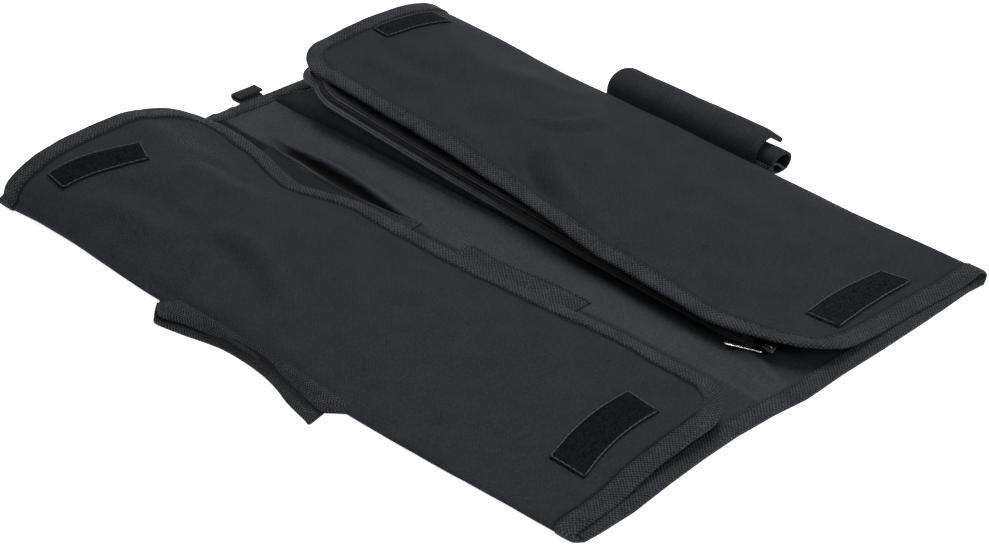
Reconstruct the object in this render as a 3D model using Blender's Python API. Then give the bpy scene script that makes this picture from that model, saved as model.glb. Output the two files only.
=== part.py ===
"""Drum stick bag, lying open like a book with its inside up. Metres, +Z up.

The bag lies on Z = 0 with the origin at the middle of its underside. X runs across the
bag, from the left cover over the narrow spine to the right cover, and Y runs along the
sticks, from the near end to the far end. Every soft layer is a thin closed sheet.
"""

import math

import bmesh
import bpy
from mathutils import Matrix, Vector

MM = 0.001
SHARP = math.radians(35)  # edges that turn by more than this stay crisp

# Driving dimensions, in millimetres.
HALF_WIDTH = 192.0  # from the middle of the bag to each long fold
HALF_LENGTH = 232.0  # from the middle of the bag to its near and far ends
SPINE_LEFT = -26.0  # fold line between the left cover and the spine
SPINE_RIGHT = 8.0  # fold line between the spine and the right cover
GAP = 0.3  # clearance between neighbouring layers
SHELL = 0.9  # outer fabric with its backing
LINING = 0.7
LINING_TOP = SHELL + GAP + LINING
FOLD_AXIS_Z = LINING_TOP + GAP  # the covers turn about the inside of the fold
BINDING = 12.0  # visible width of the folded binding tape
BINDING_TOP = LINING_TOP + 0.4
FLAP_NEAR = -227.0
FLAP_FAR = 225.0
FLAP_PANEL = 0.8
FLAP_LINING = 0.6
FLAP_STACK = FLAP_PANEL + GAP + FLAP_LINING
LEFT_CORNER = 40.0  # radius of each flap's two inner corners
RIGHT_CORNER = 34.0
CROWN_CLEAR = 0.8  # between a flap's layers and the fold's crown
WEBBING_WIDTH = 27.0
WEBBING = 1.8
STRAP = 2.4  # the left handle's two layers, folded together
TAB = 23.7  # how far each handle's end runs in under the cover
HANDLE_NEAR = -64.0  # where the middle of each handle leg leaves the fold
HANDLE_FAR = 84.0
HANDLE_CLEAR = 4.4  # from the base's edge to the free webbing, past the rolled fold
PATCH = 0.9
PATCH_LIFT = 0.6
POCKET_LOW = LINING_TOP + GAP
POCKET_TOP = POCKET_LOW + 0.6

# The long fold's crown, where each flap begins: near end and far end, as (X, Y, Z).
LEFT_CROWN = (Vector((-190.5, -225.0, 4.9)), Vector((-196.0, 228.0, 10.0)))
RIGHT_CROWN = (Vector((188.5, -228.0, 8.0)), Vector((186.0, 228.0, 19.0)))

# The top of each flap across the bag, from the fold's crown to the inner edge, as (X, Z)
# at several places along the bag. Each flap stands high at the far end and lies low at the
# near end.
LEFT_FLAP = (
    (
        -227,
        (
            (-190.5, 4.9), (-184, 5.3), (-170, 5.5), (-145, 6.4),
            (-114, 9.0), (-84, 11.0), (-57, 11.4), (-31, 10.5),
        ),
    ),
    (
        -130,
        (
            (-191.6, 6.0), (-185, 7.6), (-170, 9.2), (-147, 11.2),
            (-118, 12.8), (-89, 13.2), (-60, 12.4), (-31.5, 10),
        ),
    ),
    (
        -50,
        (
            (-192.5, 6.9), (-186, 9.4), (-171, 12.4), (-148, 14.8),
            (-119, 16.2), (-90, 15.6), (-58, 9.0), (-35, 6.4),
        ),
    ),
    (
        25,
        (
            (-193.4, 7.8), (-187, 11.2), (-171, 15.2), (-148, 18.4),
            (-120, 20.0), (-92, 18.6), (-60, 9.2), (-36.5, 6.4),
        ),
    ),
    (
        82,
        (
            (-194.2, 8.5), (-189, 13), (-173, 18.4), (-150, 22.6),
            (-122, 24.6), (-93, 22.5), (-59, 10.0), (-36, 6.6),
        ),
    ),
    (
        120,
        (
            (-194.7, 8.9), (-189.7, 14), (-174, 20.2), (-151, 24.8),
            (-124, 27), (-98, 25), (-69, 10.6), (-51, 7),
        ),
    ),
    (
        165,
        (
            (-195.2, 9.3), (-191, 15.6), (-175.5, 23), (-152.5, 28.4),
            (-125, 30.6), (-97, 28.5), (-61, 13.4), (-40, 9.5),
        ),
    ),
    (
        225,
        (
            (-196, 10), (-193.5, 18.5), (-179, 27), (-155, 33),
            (-128, 35), (-98, 32.5), (-62, 19), (-36, 12),
        ),
    ),
)
RIGHT_FLAP = (
    (
        -227,
        (
            (188.5, 8.1), (180, 6.4), (160, 5.2), (130, 5.0),
            (97, 5.6), (70, 8.2), (48, 13), (24, 17),
        ),
    ),
    (
        -150,
        (
            (188.1, 9.9), (179, 12), (160, 13.6), (130, 15.0),
            (97, 15.8), (64, 15.8), (36, 15.4), (10.5, 14),
        ),
    ),
    (
        -65,
        (
            (187.6, 11.9), (179, 15.4), (160, 18.4), (130, 21),
            (97, 22), (65, 21.4), (40, 18.4), (17.5, 14),
        ),
    ),
    (
        22,
        (
            (187.1, 14.0), (179, 18.6), (160, 22.4), (130, 25.6),
            (97, 27), (66, 26.4), (42, 24), (23, 20),
        ),
    ),
    (
        110,
        (
            (186.6, 16.2), (179, 20.6), (160, 25), (131, 29),
            (99, 31), (69, 30), (45, 28), (27, 25),
        ),
    ),
    (
        225,
        (
            (186.0, 19.0), (178, 26.5), (157, 33), (130, 35),
            (101, 34), (74, 32), (54, 30.5), (35, 28.5),
        ),
    ),
)

# The zip's coil runs in an upright plane on a shallow arc, and then turns the far corner.
ZIP_NEAR = Vector((23.0, -191.0, 6.6))
ZIP_FAR = Vector((27.0, 182.0, 22.0))
ZIP_TILT = math.radians(35)  # the zip's face leans towards the spine
ZIP_CORNER = 20.0  # radius of the far corner
ZIP_CORNER_TURN = math.radians(75)
PULL_HEAD = Vector((17.4, -190.0, 6.4))
PULL_TIP = Vector((10.4, -167.5, 5.0))
TAPE = 5.0
TAPE_THICK = 0.7
COIL_RADIUS = 1.0
POUCH_NEAR = -186.0  # the pouch's upper layer begins beside the zip's lower end
POUCH_INNER_X = 183.0
GUSSET_X = 26.0  # line where the pouch's front wall is stitched to the lining
GUSSET_START = 0.44  # share of the zip's arc where the wall comes up from the lining

# Hook-and-loop patches on the flaps: distances from the inner edge, and Y.
LOOP_NEAR = ((47, 122), (-199, -174))
LOOP_FAR = ((86, 148), (181, 200))
HOOK_NEAR = ((46, 129), (-206, -189))
HOOK_FAR = ((69, 127), (190, 209))

# Open-topped pockets on the left cover's lining: near and far Y. Their hems lie on the spine.
POCKET_FAR_Y = (44.0, 174.0)
POCKET_NEAR_Y = (-87.0, 10.0)
POCKET_LEFT = -168.0
POCKET_HEM_FAR_X = -11.0
POCKET_HEM_NEAR_X = -12.0

# The left handle lies flattened against the long fold: the strap's lower outer edge and its
# upper inner edge, as (Y, outer X, inner X, inner Z).
LEFT_HANDLE = (
    (87.0, -200.5, -197.2, 1.6),
    (80.0, -207.0, -197.6, 3.0),
    (66.0, -216.5, -199.5, 5.0),
    (50.0, -216.0, -200.0, 7.0),
    (30.0, -213.5, -200.0, 8.0),
    (5.0, -208.5, -199.5, 8.5),
    (-12.0, -209.0, -199.5, 8.5),
    (-41.0, -218.0, -200.5, 7.0),
    (-62.0, -222.5, -200.5, 5.0),
    (-69.0, -212.0, -198.8, 3.6),
    (-76.0, -202.0, -197.4, 1.8),
)

# The right handle's padded wrap.
GRIP_NEAR = -64.0
GRIP_FAR = 81.0
GRIP_LEFT = 197.5
GRIP_RIGHT = 222.0
GRIP_TOP = 11.5
GRIP_WEBBING_X = 217.0  # outer edge of the webbing inside the wrap
GRIP_WEBBING_RUN = 17.0  # width of the bunched webbing inside the wrap
GRIP_WEBBING_Z = 4.5
GRIP_HINGE = (198.6, 14.0, 13.0)
GRIP_COVER = 2.4  # thickness of the wrap's upper layer
GRIP_COVER_Y = (-50.0, 83.0)
# The upper layer's outside, as (X, Z): it springs from the roll's inner shoulder and arches over.
GRIP_ARCH = (
    (198.6, 13.0),
    (198.4, 16.4),
    (202.5, 20.2),
    (210.5, 21.6),
    (219.0, 20.2),
    (225.0, 17.0),
    (229.0, 12.6),
)

# The hanging loop past the far edge.
HANGER_X = (4.0, 24.0)
HANGER_REACH = 10.0
HANGER_RIBBON = 0.9
HANGER_RADIUS = 2.8
HANGER_Z = 3.4


def material(name, color, roughness, metallic=0.0):
    mat = bpy.data.materials.new(name)
    mat.use_nodes = True
    shader = mat.node_tree.nodes["Principled BSDF"]
    shader.inputs["Base Color"].default_value = (*color, 1.0)
    shader.inputs["Roughness"].default_value = roughness
    shader.inputs["Metallic"].default_value = metallic
    mat.diffuse_color = (*color, 1.0)
    return mat


def body(name, pivot):
    """An empty on the body's joint axis, which the body's pieces are parented to. In millimetres."""
    empty = bpy.data.objects.new(name, None)
    empty.empty_display_size = 0.02
    empty.location = Vector(pivot) * MM
    bpy.context.collection.objects.link(empty)
    return empty


def add(name, bm, parent, mat):
    """Makes the object of a bmesh whose points are in millimetres in the bag's frame."""
    bm.normal_update()
    bmesh.ops.recalc_face_normals(bm, faces=bm.faces)
    pivot = parent.location / MM
    to_body = Matrix.Scale(MM, 4) @ Matrix.Translation(-pivot)
    bmesh.ops.transform(bm, matrix=to_body, verts=bm.verts)
    mesh = bpy.data.meshes.new(name)
    bm.to_mesh(mesh)
    bm.free()
    mesh.materials.append(mat)
    mesh.shade_smooth()
    mesh.set_sharp_from_angle(angle=SHARP)
    obj = bpy.data.objects.new(name, mesh)
    obj.parent = parent
    bpy.context.collection.objects.link(obj)
    return obj


def box(name, low, high, parent, mat):
    bm = bmesh.new()
    bmesh.ops.create_cube(bm, size=1.0)
    for v in bm.verts:
        for k in range(3):
            v.co[k] = low[k] if v.co[k] < 0 else high[k]
    return add(name, bm, parent, mat)


def slab(name, outline, low, high, parent, mat):
    """A flat piece with the outline's (X, Y) corners, between two heights."""
    bm = bmesh.new()
    face = bm.faces.new([bm.verts.new((x, y, low)) for x, y in outline])
    top = bmesh.ops.extrude_face_region(bm, geom=[face])["geom"]
    raised = [v for v in top if isinstance(v, bmesh.types.BMVert)]
    bmesh.ops.translate(bm, vec=(0, 0, high - low), verts=raised)
    return add(name, bm, parent, mat)


def loft(name, rings, parent, mat):
    """A solid through rings of points, with a flat cap at each end."""
    bm = bmesh.new()
    loops = [[bm.verts.new(p) for p in ring] for ring in rings]
    count = len(rings[0])
    for a, b in zip(loops, loops[1:]):
        for i in range(count):
            j = (i + 1) % count
            bm.faces.new((a[i], a[j], b[j], b[i]))
    bm.faces.new(loops[0])
    bm.faces.new(list(reversed(loops[-1])))
    return add(name, bm, parent, mat)


def sheet(name, top, bottom, parent, mat):
    """A closed sheet between two grids of points of the same size."""
    bm = bmesh.new()
    grids = [[[bm.verts.new(p) for p in row] for row in grid] for grid in (top, bottom)]
    rows, columns = len(top), len(top[0])
    for grid, flip in zip(grids, (False, True)):
        for r in range(rows - 1):
            for c in range(columns - 1):
                a, b, d, e = grid[r][c], grid[r][c + 1], grid[r + 1][c + 1], grid[r + 1][c]
                for corners in ((a, b, d), (a, d, e)):
                    bm.faces.new(reversed(corners) if flip else corners)
    rim = [(0, c) for c in range(columns)]
    rim += [(r, columns - 1) for r in range(1, rows)]
    rim += [(rows - 1, c) for c in range(columns - 2, -1, -1)]
    rim += [(r, 0) for r in range(rows - 2, 0, -1)]
    for (r, c), (s, d) in zip(rim, rim[1:] + rim[:1]):
        bm.faces.new((grids[0][r][c], grids[1][r][c], grids[1][s][d], grids[0][s][d]))
    return add(name, bm, parent, mat)


def lerp(a, b, t):
    return a + (b - a) * t


def catmull(points, t):
    """A point on the smooth curve through the points, with t from 0 to 1 along them."""
    last = len(points) - 1
    i = min(int(t * last), last - 1)
    u = t * last - i
    p1, p2 = Vector(points[i]), Vector(points[i + 1])
    p0 = Vector(points[i - 1]) if i else 2 * p1 - p2
    p3 = Vector(points[i + 2]) if i + 2 <= last else 2 * p2 - p1
    square = (2 * p0 - 5 * p1 + 4 * p2 - p3) * u * u
    cube = (3 * p1 - p0 - 3 * p2 + p3) * u**3
    return 0.5 * (2 * p1 + (p2 - p0) * u + square + cube)


class Drape:
    """The top surface of a flap, addressed by the distance e from its inner edge and by Y."""

    SAMPLES = 80

    def __init__(self, stations):
        self.stations = stations
        self.cache = {}

    def profile(self, y):
        """The flap's cross-section at y: (X, Z) points and their distances from the inner edge."""
        key = round(y, 4)
        if key not in self.cache:
            ys = [s[0] for s in self.stations]
            i = max(k for k in range(len(ys) - 1) if ys[k] <= y or k == 0)
            t = min(max((y - ys[i]) / (ys[i + 1] - ys[i]), -0.2), 1.2)
            t = t * t * (3 - 2 * t) * 0.35 + t * 0.65 if 0 < t < 1 else t
            rows = zip(self.stations[i][1], self.stations[i + 1][1])
            points = [Vector(a).lerp(Vector(b), t) for a, b in rows]
            curve = [catmull(points, 1 - k / self.SAMPLES) for k in range(self.SAMPLES + 1)]
            along = [0.0]
            for a, b in zip(curve, curve[1:]):
                along.append(along[-1] + (b - a).length)
            self.cache[key] = (curve, along)
        return self.cache[key]

    def width(self, y):
        return self.profile(y)[1][-1]

    def at(self, e, y):
        curve, along = self.profile(y)
        e = min(max(e, 0.0), along[-1])
        k = next(i for i in range(len(along) - 1) if along[i + 1] >= e)
        p = curve[k].lerp(curve[k + 1], (e - along[k]) / (along[k + 1] - along[k]))
        return Vector((p.x, y, p.y))

    def normal(self, e, y):
        step = 1.5
        e = min(max(e, step), self.width(y) - step)
        across = self.at(e + step, y) - self.at(e - step, y)
        along = self.at(e, y + step) - self.at(e, y - step)
        n = across.cross(along)
        return (n if n.z > 0 else -n).normalized()

    def lifted(self, e, y, lift):
        return self.at(e, y) + self.normal(e, y) * lift

    def height(self, x, y):
        """Z of the top surface above a point of the floor plan."""
        curve, _ = self.profile(y)
        for a, b in zip(curve, curve[1:]):
            if min(a.x, b.x) <= x <= max(a.x, b.x):
                return lerp(a.y, b.y, (x - a.x) / (b.x - a.x))
        return curve[0].y if abs(x - curve[0].x) < abs(x - curve[-1].x) else curve[-1].y


def spread(low, high, count):
    """Values from low to high that lie closer together towards both ends."""
    return [lerp(low, high, 0.5 - 0.5 * math.cos(math.pi * k / count)) for k in range(count + 1)]


def corner_inset(y, inset, radius):
    """How far a flap's inner outline lies from its inner edge at y, with its rounded corners."""
    r = radius - inset
    depth = max(y - (FLAP_FAR - radius), (FLAP_NEAR + radius) - y, 0.0)
    return inset + r - math.sqrt(max(r * r - min(depth, r) ** 2, 0.0))


def flap_sheet(name, drape, radius, inset, high, low, parent, mat):
    """A layer of a flap inside its binding, between two lifts from the flap's top surface."""
    rows = spread(FLAP_NEAR + inset, FLAP_FAR - inset, 22)
    columns = 12
    grids = []
    for lift in (high, low):
        grid = []
        for y in rows:
            start, end = corner_inset(y, inset, radius), drape.width(y) - CROWN_CLEAR
            across = [lerp(end, start, c / columns) for c in range(columns + 1)]
            grid.append([drape.lifted(e, y, lift) for e in across])
        grids.append(grid)
    return sheet(name, grids[0], grids[1], parent, mat)


def flap_binding(name, drape, radius, parent, mat):
    """The binding round a flap's far end, inner edge and near end."""
    steps = 6
    path = []
    for end, sign in ((FLAP_FAR, 1), (FLAP_NEAR, -1)):
        crown = drape.width(end) - CROWN_CLEAR
        side = [(lerp(crown, radius, k / 7), end, 0.0, -sign) for k in range(7)]
        turn = []
        for k in range(steps + 1):
            a = math.pi / 2 * k / steps
            out_e, out_y = -math.sin(a), sign * math.cos(a)
            centre = (radius, end - sign * radius)
            turn.append((centre[0] + radius * out_e, centre[1] + radius * out_y, -out_e, -out_y))
        path.append(side + turn)
    edge_ys = [lerp(FLAP_FAR - radius, FLAP_NEAR + radius, k / 26) for k in range(1, 26)]
    edge = [(0.0, y, 1.0, 0.0) for y in edge_ys]
    rings = []
    tape = BINDING - 1.7
    for e, y, in_e, in_y in path[0] + edge + path[1][::-1]:
        inner = (e + in_e * tape, y + in_y * tape)
        rings.append(
            [
                drape.lifted(e, y, 0.1),
                drape.lifted(*inner, 0.1),
                drape.lifted(*inner, -FLAP_STACK - 0.1),
                drape.lifted(e, y, -FLAP_STACK - 0.1),
            ]
        )
    return loft(name, rings, parent, mat)


def flap_patch(name, drape, area, parent, mat):
    """A hook-and-loop patch that lies on a flap."""
    e_range, y_range = area
    columns, rows = 6, 2
    across = [lerp(*e_range, c / columns) for c in range(columns + 1)]
    along = [lerp(*y_range, r / rows) for r in range(rows + 1)]
    grids = []
    for lift in (PATCH_LIFT + PATCH, PATCH_LIFT):
        grids.append([[drape.lifted(e, y, lift) for e in across] for y in along])
    return sheet(name, grids[0], grids[1], parent, mat)


def long_fold(name, crown, side, parent, mat):
    """The strip of outer fabric that rolls up from the base's long edge to a flap's crown."""
    bulge = 3.2 if side < 0 else 2.6
    rings = []
    for k in range(13):
        t = k / 12
        top = crown[0].lerp(crown[1], t) - Vector((0, 0, 0.6))
        top.x += side * 0.9
        low = Vector((side * (HALF_WIDTH - 1.0), top.y, 0.5))
        outer, inner = [], []
        for j in range(7):
            u = j / 6
            p = low.lerp(top, u)
            p.x += side * bulge * math.sin(math.pi * u) * lerp(0.5, 1.0, t)
            outer.append(p)
            inner.append(p - Vector((side * 1.1, 0, 0)))
        rings.append(outer + inner[::-1])
    return loft(name, rings, parent, mat)


def rounded(points, radius, steps=4):
    """The outline with each corner turned into an arc."""
    out = []
    for i, p in enumerate(points):
        p = Vector(p)
        a = (Vector(points[i - 1]) - p).normalized()
        b = (Vector(points[(i + 1) % len(points)]) - p).normalized()
        cut = min(radius, 0.45 * (Vector(points[i - 1]) - p).length)
        start, end = p + a * cut, p + b * cut
        for k in range(steps + 1):
            t = k / steps
            out.append(tuple(start.lerp(p, t).lerp(p.lerp(end, t), t)))
    return out


def zip_point(t):
    """The coil's centre at share t of its arc, lowest at the near end."""
    p = ZIP_NEAR.lerp(ZIP_FAR, t)
    p.z = lerp(ZIP_NEAR.z, ZIP_FAR.z, t * t)
    return p


def zip_path():
    """Coil centres along the arc and round the far corner, each with its direction in plan."""
    path = []
    plan = (ZIP_FAR - ZIP_NEAR).to_2d().normalized()
    for k in range(19):
        path.append((zip_point(0.03 + 0.97 * k / 18), plan))
    centre = ZIP_FAR.to_2d() + Vector((plan.y, -plan.x)) * ZIP_CORNER
    for k in range(1, 6):
        a = ZIP_CORNER_TURN * k / 5
        turn = Matrix.Rotation(-a, 2)
        p = centre + turn @ (ZIP_FAR.to_2d() - centre)
        path.append((Vector((p.x, p.y, ZIP_FAR.z)), turn @ plan))
    return path


def zip_frame(plan):
    """The zip's own directions at a point: up across the tape, and out of its face."""
    inward = Vector((plan.y, -plan.x, 0))
    across = inward * math.cos(ZIP_TILT) + Vector((0, 0, math.sin(ZIP_TILT)))
    out = -inward * math.sin(ZIP_TILT) + Vector((0, 0, math.cos(ZIP_TILT)))
    return across, out


def zip_strip(name, low, high, thick, parent, mat):
    """A flat strip of the zip, between two distances across it from the coil's centre."""
    corners = ((low, thick), (high, thick), (high, -thick), (low, -thick))
    rings = []
    for p, plan in zip_path():
        across, out = zip_frame(plan)
        rings.append([p + across * a + out * b for a, b in corners])
    return loft(name, rings, parent, mat)


def zip_coil(name, parent, mat):
    rings = []
    for p, plan in zip_path():
        across, out = zip_frame(plan)
        angles = [math.pi / 3 * k for k in range(6)]
        rings.append([p + (across * math.cos(a) + out * math.sin(a)) * COIL_RADIUS for a in angles])
    return loft(name, rings, parent, mat)


def zip_slider_body(parent, mat):
    """The slider's top plate and bail, on the outside of the coil."""
    plan = (ZIP_FAR - ZIP_NEAR).to_2d().normalized()
    across, out = zip_frame(plan)
    forward = Vector((plan.x, plan.y, 0))
    bm = bmesh.new()
    bmesh.ops.create_cube(bm, size=1.0)
    for v in bm.verts:
        end = 1 if v.co.x > 0 else -1
        half = (2.0 if end > 0 else 2.7) * (1 if v.co.y > 0 else -1)
        lift = 1.4 if v.co.z < 0 else 3.1
        v.co = zip_point(0) + forward * (4.5 * end) + across * half + out * lift
    return add("zip_slider", bm, parent, mat)


def pouch_panel(drape, parent, mat):
    """The zipped pouch's upper layer, from the zip's inner tape to the long fold, under the flap."""
    grids = ([], [])
    for y in spread(POUCH_NEAR, ZIP_FAR.y - 1.0, 13):
        t = (y - ZIP_NEAR.y) / (ZIP_FAR.y - ZIP_NEAR.y)
        p = zip_point(t)
        start_x = p.x + (TAPE + 1.4) * math.cos(ZIP_TILT)
        start_z = p.z + (TAPE + 1.4) * math.sin(ZIP_TILT)
        rows = ([], [])
        for c in range(12):
            x = lerp(start_x, POUCH_INNER_X, c / 11)
            under = drape.height(x, y) - FLAP_STACK - 1.5
            rise = min(1.0, (x - start_x) / 30.0)
            z = max(lerp(start_z, under, rise * rise * (3 - 2 * rise)), LINING_TOP + 1.4)
            z = min(z, max(under, LINING_TOP + 1.4))
            for row, lift in zip(rows, (0.0, -0.8)):
                row.append((x, y, z + lift))
        for grid, row in zip(grids, rows):
            grid.append(row)
    return sheet("pouch_panel", grids[0], grids[1], parent, mat)


def pouch_gusset(parent, mat):
    """The pouch's front wall, from the lining up to the zip's lower tape."""
    rings = []
    foot_z = LINING_TOP + 0.4
    for k in range(11):
        t = lerp(GUSSET_START, 1.0, k / 10)
        p = zip_point(t)
        across, _ = zip_frame((ZIP_FAR - ZIP_NEAR).to_2d().normalized())
        head = p - across * (TAPE + 0.4)
        head.z -= 0.4
        low = Vector((GUSSET_X, p.y, foot_z))
        thick = Vector((0.8, 0, 0))
        rings.append([low, low + thick, head + thick, head])
    return loft("pouch_gusset", rings, parent, mat)


def handle_outline(reach, run, near, far, half):
    """The plan of the right webbing: two legs from the fold and the grip's run between them."""
    root = HALF_WIDTH + HANDLE_CLEAR
    inner = reach - run
    return [
        (root, far - half),
        (root, far + half),
        (reach, far + half),
        (reach, near - half),
        (root, near - half),
        (root, near + half),
        (inner, near + half),
        (inner, far - half),
    ]


def left_strap(parent, mat):
    """The left handle's webbing, folded along its length and leaning on the long fold."""
    rings = []
    for y, outer_x, inner_x, inner_z in LEFT_HANDLE:
        rings.append(
            [
                (outer_x, y, 0.3),
                (inner_x, y, inner_z),
                (inner_x, y, inner_z + STRAP),
                (outer_x, y, 0.3 + STRAP),
            ]
        )
    return loft("handle_left_webbing", rings, parent, mat)


def cover_outline(side, inner, tabs, edge):
    """A cover's plan, with a notch in its long edge for each handle tab."""
    outer = side * (HALF_WIDTH - 2.2)
    notch = outer - side * (TAB + GAP)
    points = [(inner, -edge), (outer, -edge)]
    for middle in tabs:
        half = WEBBING_WIDTH / 2 + GAP
        points += [(outer, middle - half), (notch, middle - half)]
        points += [(notch, middle + half), (outer, middle + half)]
    return points + [(outer, edge), (inner, edge)]


def cover_layers(side, spine_edge, parent, mats):
    """One cover's shell, lining, end bindings and handle tabs."""
    word = "left" if side < 0 else "right"
    inner = spine_edge + side * GAP
    edge = HALF_LENGTH - BINDING - GAP
    outline = cover_outline(side, inner, (HANDLE_NEAR, HANDLE_FAR), edge)
    slab(f"shell_{word}", outline, 0.0, SHELL, parent, mats["outer"])
    xs = sorted((inner, side * (HALF_WIDTH - 3.0)))
    low, high = (xs[0], -edge, SHELL + GAP), (xs[1], edge, LINING_TOP)
    box(f"lining_{word}", low, high, parent, mats["lining"])
    for end, sign in (("near", -1), ("far", 1)):
        ys = sorted((sign * (edge + GAP), sign * HALF_LENGTH))
        low, high = (xs[0], ys[0], 0.0), (xs[1], ys[1], BINDING_TOP)
        box(f"binding_{word}_{end}", low, high, parent, mats["binding"])
    for end, middle in (("near", HANDLE_NEAR), ("far", HANDLE_FAR)):
        outer = side * (HALF_WIDTH - 2.5)
        txs = sorted((outer, outer - side * (TAB - GAP)))
        low = (txs[0], middle - WEBBING_WIDTH / 2, 0.0)
        high = (txs[1], middle + WEBBING_WIDTH / 2, SHELL)
        box(f"handle_tab_{word}_{end}", low, high, parent, mats["webbing"])


def spine_layers(parent, mats):
    xs = (SPINE_LEFT + GAP, SPINE_RIGHT - GAP)
    edge = HALF_LENGTH - BINDING - GAP
    box("shell_spine", (xs[0], -edge, 0.0), (xs[1], edge, SHELL), parent, mats["outer"])
    low, high = (xs[0], -edge, SHELL + GAP), (xs[1], edge, LINING_TOP)
    box("lining_spine", low, high, parent, mats["lining"])
    for end, sign in (("near", -1), ("far", 1)):
        ys = sorted((sign * (edge + GAP), sign * HALF_LENGTH))
        low, high = (xs[0], ys[0], 0.0), (xs[1], ys[1], BINDING_TOP)
        box(f"binding_spine_{end}", low, high, parent, mats["binding"])
    left = SPINE_LEFT + 1.6
    hems = (
        ("pocket_hem_far", POCKET_FAR_Y, POCKET_HEM_FAR_X, POCKET_TOP + 0.8),
        ("pocket_hem_near", POCKET_NEAR_Y, POCKET_HEM_NEAR_X, POCKET_TOP + 0.4),
    )
    for name, ys, right, top in hems:
        low, high = (left, ys[0] + 2, POCKET_LOW), (right, ys[1] - 2, top)
        box(name, low, high, parent, mats["lining"])


def pocket_panels(parent, mats):
    for name, ys in (("pocket_panel_far", POCKET_FAR_Y), ("pocket_panel_near", POCKET_NEAR_Y)):
        low, high = (POCKET_LEFT, ys[0], POCKET_LOW), (SPINE_LEFT - 0.6, ys[1], POCKET_TOP)
        box(name, low, high, parent, mats["lining"])


def hanger(parent, mat):
    """A loop of ribbon past the far edge; its opening runs along X."""
    root = HALF_LENGTH + 0.4
    turn_y = root + HANGER_REACH - HANGER_RADIUS
    sides = []
    for r in (HANGER_RADIUS, HANGER_RADIUS - HANGER_RIBBON):
        side = [(root, HANGER_Z - r)]
        for k in range(7):
            a = -math.pi / 2 + math.pi * k / 6
            side.append((turn_y + r * math.cos(a), HANGER_Z + r * math.sin(a)))
        sides.append(side + [(root, HANGER_Z + r)])
    ring = sides[0] + sides[1][::-1]
    rings = [[(x, y, z) for y, z in ring] for x in HANGER_X]
    loft("hanger_loop", rings, parent, mat)


def grip(handle, cover, mats):
    """The right handle's padded wrap: a lower roll round the webbing, and an upper layer over it."""
    corners = [
        (GRIP_LEFT, 0.5),
        (GRIP_RIGHT, 0.5),
        (GRIP_RIGHT, GRIP_TOP),
        (GRIP_LEFT, GRIP_TOP),
    ]
    ring = rounded(corners, 5.0, 3)
    rings = [[(x, y, z) for x, z in ring] for y in (GRIP_NEAR + 2, GRIP_FAR - 2)]
    pad = loft("grip_pad", rings, handle, mats["outer"])
    half = WEBBING_WIDTH / 2
    legs = (GRIP_NEAR + half + 3, GRIP_FAR - half - 3)
    low, high = GRIP_WEBBING_Z, GRIP_WEBBING_Z + WEBBING
    plan = handle_outline(GRIP_WEBBING_X, GRIP_WEBBING_RUN, *legs, half)
    slab("handle_right_webbing", plan, low, high, handle, mats["webbing"])
    clear = GAP + 0.1
    run = GRIP_WEBBING_RUN + 2 * clear
    wide = handle_outline(GRIP_WEBBING_X + clear, run, *legs, half + clear)
    cutter = slab("grip_cutter", wide, low - clear, high + clear, handle, mats["webbing"])
    cutter.hide_render = True
    cutter.display_type = "WIRE"
    cut = pad.modifiers.new("webbing slot", "BOOLEAN")
    cut.operation = "DIFFERENCE"
    cut.object = cutter
    outer = [catmull(GRIP_ARCH, k / 12) for k in range(13)]
    inner = []
    for k, p in enumerate(outer):
        d = outer[min(k + 1, 12)] - outer[max(k - 1, 0)]
        inner.append(p + Vector((d.y, -d.x)).normalized() * GRIP_COVER)
    arch = outer + inner[::-1]
    rings = [[(p.x, y, p.y) for p in arch] for y in GRIP_COVER_Y]
    loft("grip_cover", rings, cover, mats["outer"])
    low, high = (203.0, GRIP_NEAR + 18, GRIP_TOP + 0.3), (218.0, GRIP_FAR - 6, GRIP_TOP + 1.1)
    box("grip_loop_strip", low, high, handle, mats["loop"])


def pull_tab(parent, mat):
    """The slider's pull: a slim flat tab with a rounded tip, lying beside the zip."""
    along = (PULL_TIP - PULL_HEAD).normalized()
    side = along.cross(Vector((0, 0, 1))).normalized()
    up = side.cross(along)
    length = (PULL_TIP - PULL_HEAD).length
    outline = []
    for k in range(7):
        a = -math.pi / 2 + math.pi * k / 6
        outline.append((length - 1.5 + 1.5 * math.cos(a), 1.5 * math.sin(a)))
    for k in range(5):
        a = math.pi / 2 + math.pi * k / 4
        outline.append((1.1 * math.cos(a), 1.1 * math.sin(a)))
    rings = [[PULL_HEAD + along * u + side * v + up * w for u, v in outline] for w in (-0.5, 0.5)]
    loft("zip_pull", rings, parent, mat)


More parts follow.
